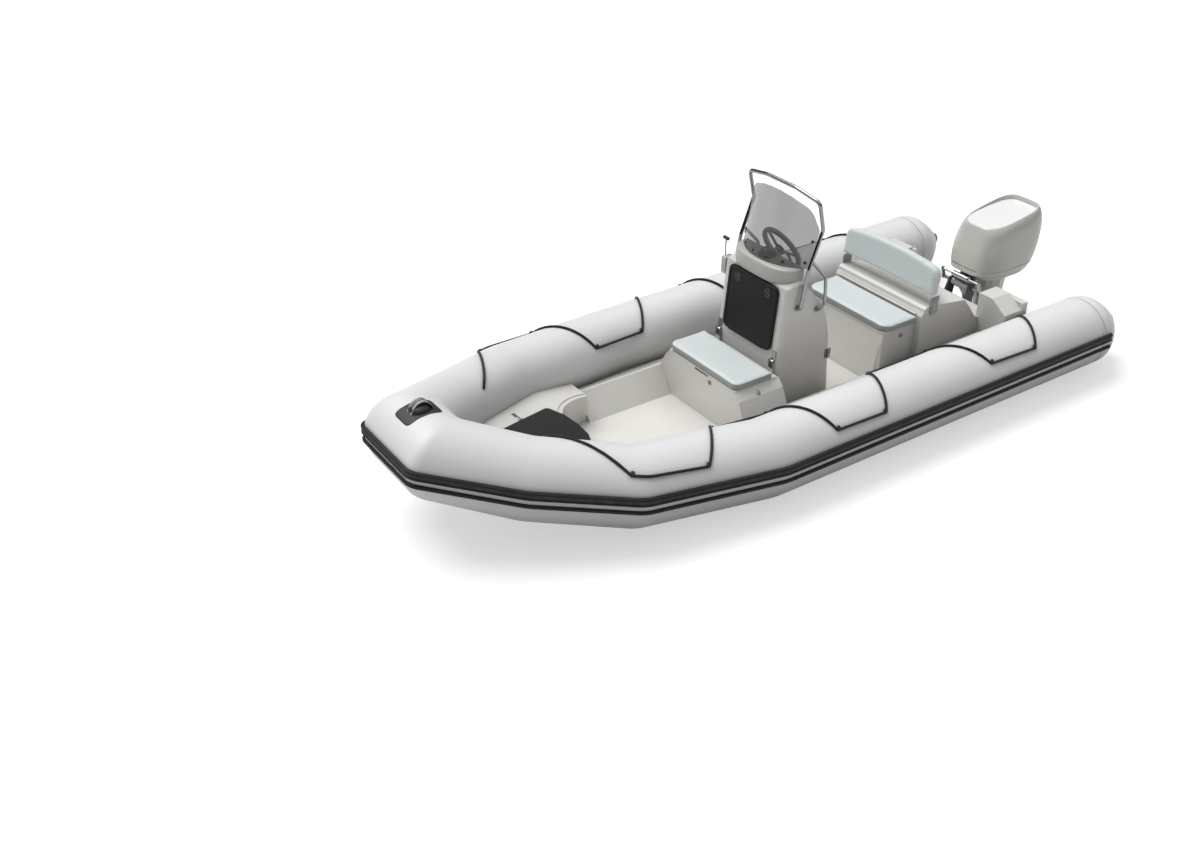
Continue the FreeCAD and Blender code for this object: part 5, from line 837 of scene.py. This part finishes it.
addPiece(form, "console_side_hinge", "stainless", "boat")


def surfaceHit(name, origin, heading):  # where a ray meets a node, and the way that the node's face looks there
    form = bmesh.new()
    form.from_mesh(nodes[name].data)
    form.transform(nodes[name].matrix_world)
    tree = BVHTree.FromBMesh(form)
    form.free()
    place, facing = tree.ray_cast(origin, heading)[:2]
    return place, (facing if facing.dot(heading) < 0 else -facing).normalized()


# Turn latches on the seats' bases, each where a ray from outside meets the base
latch = {"cup": [(0.019, -0.002), (0.019, 0.003), (0.016, 0.005), (0.0001, 0.005)], "keyOut": 0.008,
         "key": (0.01, 0.008, 0.03), "rays": (("seat_base", (0.264, 1.0, 0.41), (0, -1, 0)),
                                              ("bench_base", (-1.13, 1.0, 0.45), (0, -1, 0)),
                                              ("seat_base", (1.0, 0.1, 0.4), (-1, 0, 0)))}
form = bmesh.new()
for node, origin, heading in latch["rays"]:
    centre, facing = surfaceHit(node, Vector(origin), Vector(heading))
    turnedInto(form, latch["cup"], centre, facing, 28)
    slabInto(form, centre + facing * latch["keyOut"], facing.to_track_quat("X", "Z").to_matrix(), latch["key"], 0.0025)
addPiece(form, "seat_latches", "stainless", "boat")
print("stage: console and deck fitted")


# Cowl: a hood narrower at its front, its crown sloping up to a rim that fades out forward, laid over the engine
hood = {"power": 0.42, "steps": 128, "narrow": 0.2, "aftNarrow": 0.1, "split": 40,
        "rows": [  # level, front, aft, half width, rise aft per length, dip
            (0.456, -2.36, -2.72, 0.15, 0, 0), (0.457, -2.337, -2.78, 0.185, 0, 0), (0.463, -2.326, -2.82, 0.202, 0, 0),
            (0.485, -2.322, -2.852, 0.212, 0, 0), (0.5135, -2.32, -2.872, 0.216, 0, 0),
            (0.5145, -2.285, -2.874, 0.217, 0, 0), (0.5145, -2.245, -2.878, 0.219, 0, 0),
            (0.517, -2.238, -2.882, 0.222, 0, 0), (0.524, -2.2345, -2.887, 0.225, 0, 0),
            (0.543, -2.233, -2.893, 0.228, 0, 0), (0.5465, -2.2345, -2.8915, 0.2265, 0, 0),
            (0.549, -2.2365, -2.8895, 0.2245, 0, 0), (0.5515, -2.2335, -2.8935, 0.229, 0, 0),
            (0.58, -2.2325, -2.903, 0.234, 0, 0), (0.64, -2.236, -2.917, 0.239, 0, 0),
            (0.72, -2.25, -2.928, 0.241, 0.02, 0), (0.79, -2.267, -2.934, 0.24, 0.05, 0),
            (0.85, -2.284, -2.936, 0.231, 0.085, 0), (0.895, -2.297, -2.932, 0.219, 0.115, 0),
            (0.925, -2.306, -2.924, 0.205, 0.14, 0), (0.941, -2.312, -2.914, 0.193, 0.153, 0),
            (0.9485, -2.3165, -2.906, 0.1865, 0.16, 0), (0.9495, -2.3185, -2.902, 0.183, 0.16, 0),
            (0.9492, -2.3205, -2.899, 0.1805, 0.16, 0.003), (0.9488, -2.3235, -2.892, 0.1755, 0.16, 0.036)],
        "panel": [(0.9488, -2.324, -2.891, 0.175, 0.16, 0.036), (0.9502, -2.326, -2.887, 0.172, 0.16, 0.036)]}


def hoodRing(level, front, aft, half, rise, dip):
    ring = []
    for step in range(hood["steps"]):
        angle = 2 * math.pi * step / hood["steps"]
        along = bent(math.cos(angle), hood["power"])
        across = bent(math.sin(angle), hood["power"])
        across *= 1 - hood["narrow"] * max(0, along) ** 2.4 - hood["aftNarrow"] * max(0, -along) ** 3
        x = (front + aft + along * (front - aft)) / 2
        ring.append(Vector((x, across * half, level - rise * (x - (front + aft) / 2) - dip * (1 - along) / 2)))
    return ring


form = bmesh.new()
bridged(form, [hoodRing(*row) for row in hood["rows"]])
cowl = addPiece(form, "cowl_hood", "cowlPearl", "motor", split=hood["split"])
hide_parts("motor_cowl")
form = bmesh.new()
bridged(form, [hoodRing(*row) for row in hood["panel"]], (-1,))
addPiece(form, "cowl_crown_panel", "crownWhite", "motor", smooth=False)

# Air slots across the hood's front, over its seam
slots = {"count": 11, "inner": 0.01, "pitch": 0.011, "level": 0.566, "half": 0.232, "front": -2.2335, "aft": -2.9,
         "sunk": 0.004, "size": (0.012, 0.0105, 0.007)}
form = bmesh.new()
for side in (1, -1):
    for step in range(slots["count"]):
        y = slots["inner"] + slots["pitch"] * step
        share = y / (slots["half"] * (1 - hood["narrow"]))
        along = (1 - share ** (2 / hood["power"])) ** (hood["power"] / 2)
        x = (slots["front"] + slots["aft"] + along * (slots["front"] - slots["aft"])) / 2
        slabInto(form, (x - slots["sunk"], side * y, slots["level"]), unturned, slots["size"], 0.002)
addPiece(form, "cowl_air_slots", "seamDark", "motor")
print("stage: cowl dressed")


# Stage: a white floor at the waterline, soft light from above and starboard, and the camera
stage = {"floorHalf": 60.0, "floorShade": 0.62, "floorGlow": 0.55, "floorShine": 0.5,
         "sky": [(0.0, 0.04), (0.5, 0.05), (0.72, 0.2), (1.0, 0.6)],
         "shine": [(0.0, 0.6), (0.46, 0.5), (0.5, 0.02), (0.67, 0.04), (0.76, 0.9), (1.0, 1.0)],
         "tint": (0.985, 0.995, 1.0), "keyStrength": 2.25, "keyPlace": (1.7, -3.2, 7.5), "keySpread": 40.0}
half = stage["floorHalf"]
floorMesh = bpy.data.meshes.new("floor")
floorMesh.from_pydata([(-half, -half, 0), (half, -half, 0), (half, half, 0), (-half, half, 0)], [], [(0, 1, 2, 3)])
floor = bpy.data.objects.new("floor", floorMesh)
bpy.context.scene.collection.objects.link(floor)


def seenRays(finish):  # 1 for the camera and through glass, and the floor's shine for reflections
    outputs = finish.node("ShaderNodeLightPath").socket.node.outputs
    camera, glossy, through = (Signal(finish, outputs[name]) for name in (
        "Is Camera Ray", "Is Glossy Ray", "Is Transmission Ray"))
    return finish.maths("MAXIMUM", finish.maths("MAXIMUM", camera, through), glossy * stage["floorShine"])


floorFinish = Finish("studioFloor", rough=0.9, specular=0.0)
floorFinish.shader.inputs["Base Color"].default_value = (stage["floorShade"],) * 3 + (1,)
floorFinish.shader.inputs["Emission Strength"].default_value = 1.0
glow = seenRays(floorFinish) * stage["floorGlow"]
floorFinish.feed("Emission Color", floorFinish.node("ShaderNodeCombineXYZ", {}, {0: glow, 1: glow, 2: glow}))
floorMesh.materials.append(floorFinish.material)

world = bpy.data.worlds.new("studio")
bpy.context.scene.world = world
world.use_nodes = True
worldNodes, worldLinks = world.node_tree.nodes, world.node_tree.links
lit, bright, seen = (worldNodes.new("ShaderNodeBackground") for index in range(3))
glossMix, mixed, pathNode = (worldNodes.new(kind) for kind in (
    "ShaderNodeMixShader", "ShaderNodeMixShader", "ShaderNodeLightPath"))
# The sky is dimmer towards the horizon, which shades the collar's sides; bright metal shows a dark band there
headings, parted, height = (worldNodes.new(kind) for kind in (
    "ShaderNodeTexCoord", "ShaderNodeSeparateXYZ", "ShaderNodeMath"))
worldLinks.new(headings.outputs["Generated"], parted.inputs[0])
height.operation = "MULTIPLY_ADD"
height.inputs[1].default_value = height.inputs[2].default_value = 0.5
worldLinks.new(parted.outputs[2], height.inputs[0])
for background, stops in ((lit, stage["sky"]), (bright, stage["shine"])):
    shades = worldNodes.new("ShaderNodeValToRGB")
    worldLinks.new(height.outputs[0], shades.inputs[0])
    for index, (place, shade) in enumerate(stops):
        stop = shades.color_ramp.elements[index] if index < 2 else shades.color_ramp.elements.new(place)
        stop.position, stop.color = place, (*(shade * channel for channel in stage["tint"]), 1)
    worldLinks.new(shades.outputs[0], background.inputs[0])
    background.inputs[1].default_value = 1.0
seen.inputs[0].default_value, seen.inputs[1].default_value = (1, 1, 1, 1), 1.0
for chooser, ray, first, second in (
        (glossMix, "Is Glossy Ray", lit, bright), (mixed, "Is Camera Ray", glossMix, seen)):
    worldLinks.new(pathNode.outputs[ray], chooser.inputs[0])
    worldLinks.new(first.outputs[0], chooser.inputs[1])
    worldLinks.new(second.outputs[0], chooser.inputs[2])
worldLinks.new(mixed.outputs[0], worldNodes["World Output"].inputs[0])

key = bpy.data.lights.new("key", "SUN")
key.energy, key.angle = stage["keyStrength"], math.radians(stage["keySpread"])
lamp = bpy.data.objects.new("key", key)
lamp.rotation_euler = (-Vector(stage["keyPlace"])).to_track_quat("-Z", "Y").to_euler()
bpy.context.scene.collection.objects.link(lamp)

cameraSettings = {"place": (5.771, 6.523, 5.255), "yaw": -2.168, "pitch": 0.56, "lens": 40.13, "film": 36.0,
                  "far": 200.0}
cameraData = bpy.data.cameras.new("camera")
cameraData.lens, cameraData.sensor_width = cameraSettings["lens"], cameraSettings["film"]
cameraData.clip_end = cameraSettings["far"]
camera = bpy.data.objects.new("camera", cameraData)
camera.location = cameraSettings["place"]
yaw, pitch = cameraSettings["yaw"], cameraSettings["pitch"]
looking = Vector((math.cos(pitch) * math.cos(yaw), math.cos(pitch) * math.sin(yaw), -math.sin(pitch)))
camera.rotation_euler = looking.to_track_quat("-Z", "Y").to_euler()
bpy.context.scene.collection.objects.link(camera)
bpy.context.scene.camera = camera
bpy.context.scene.view_settings.view_transform = "Standard"
print("stage: lights and camera set")
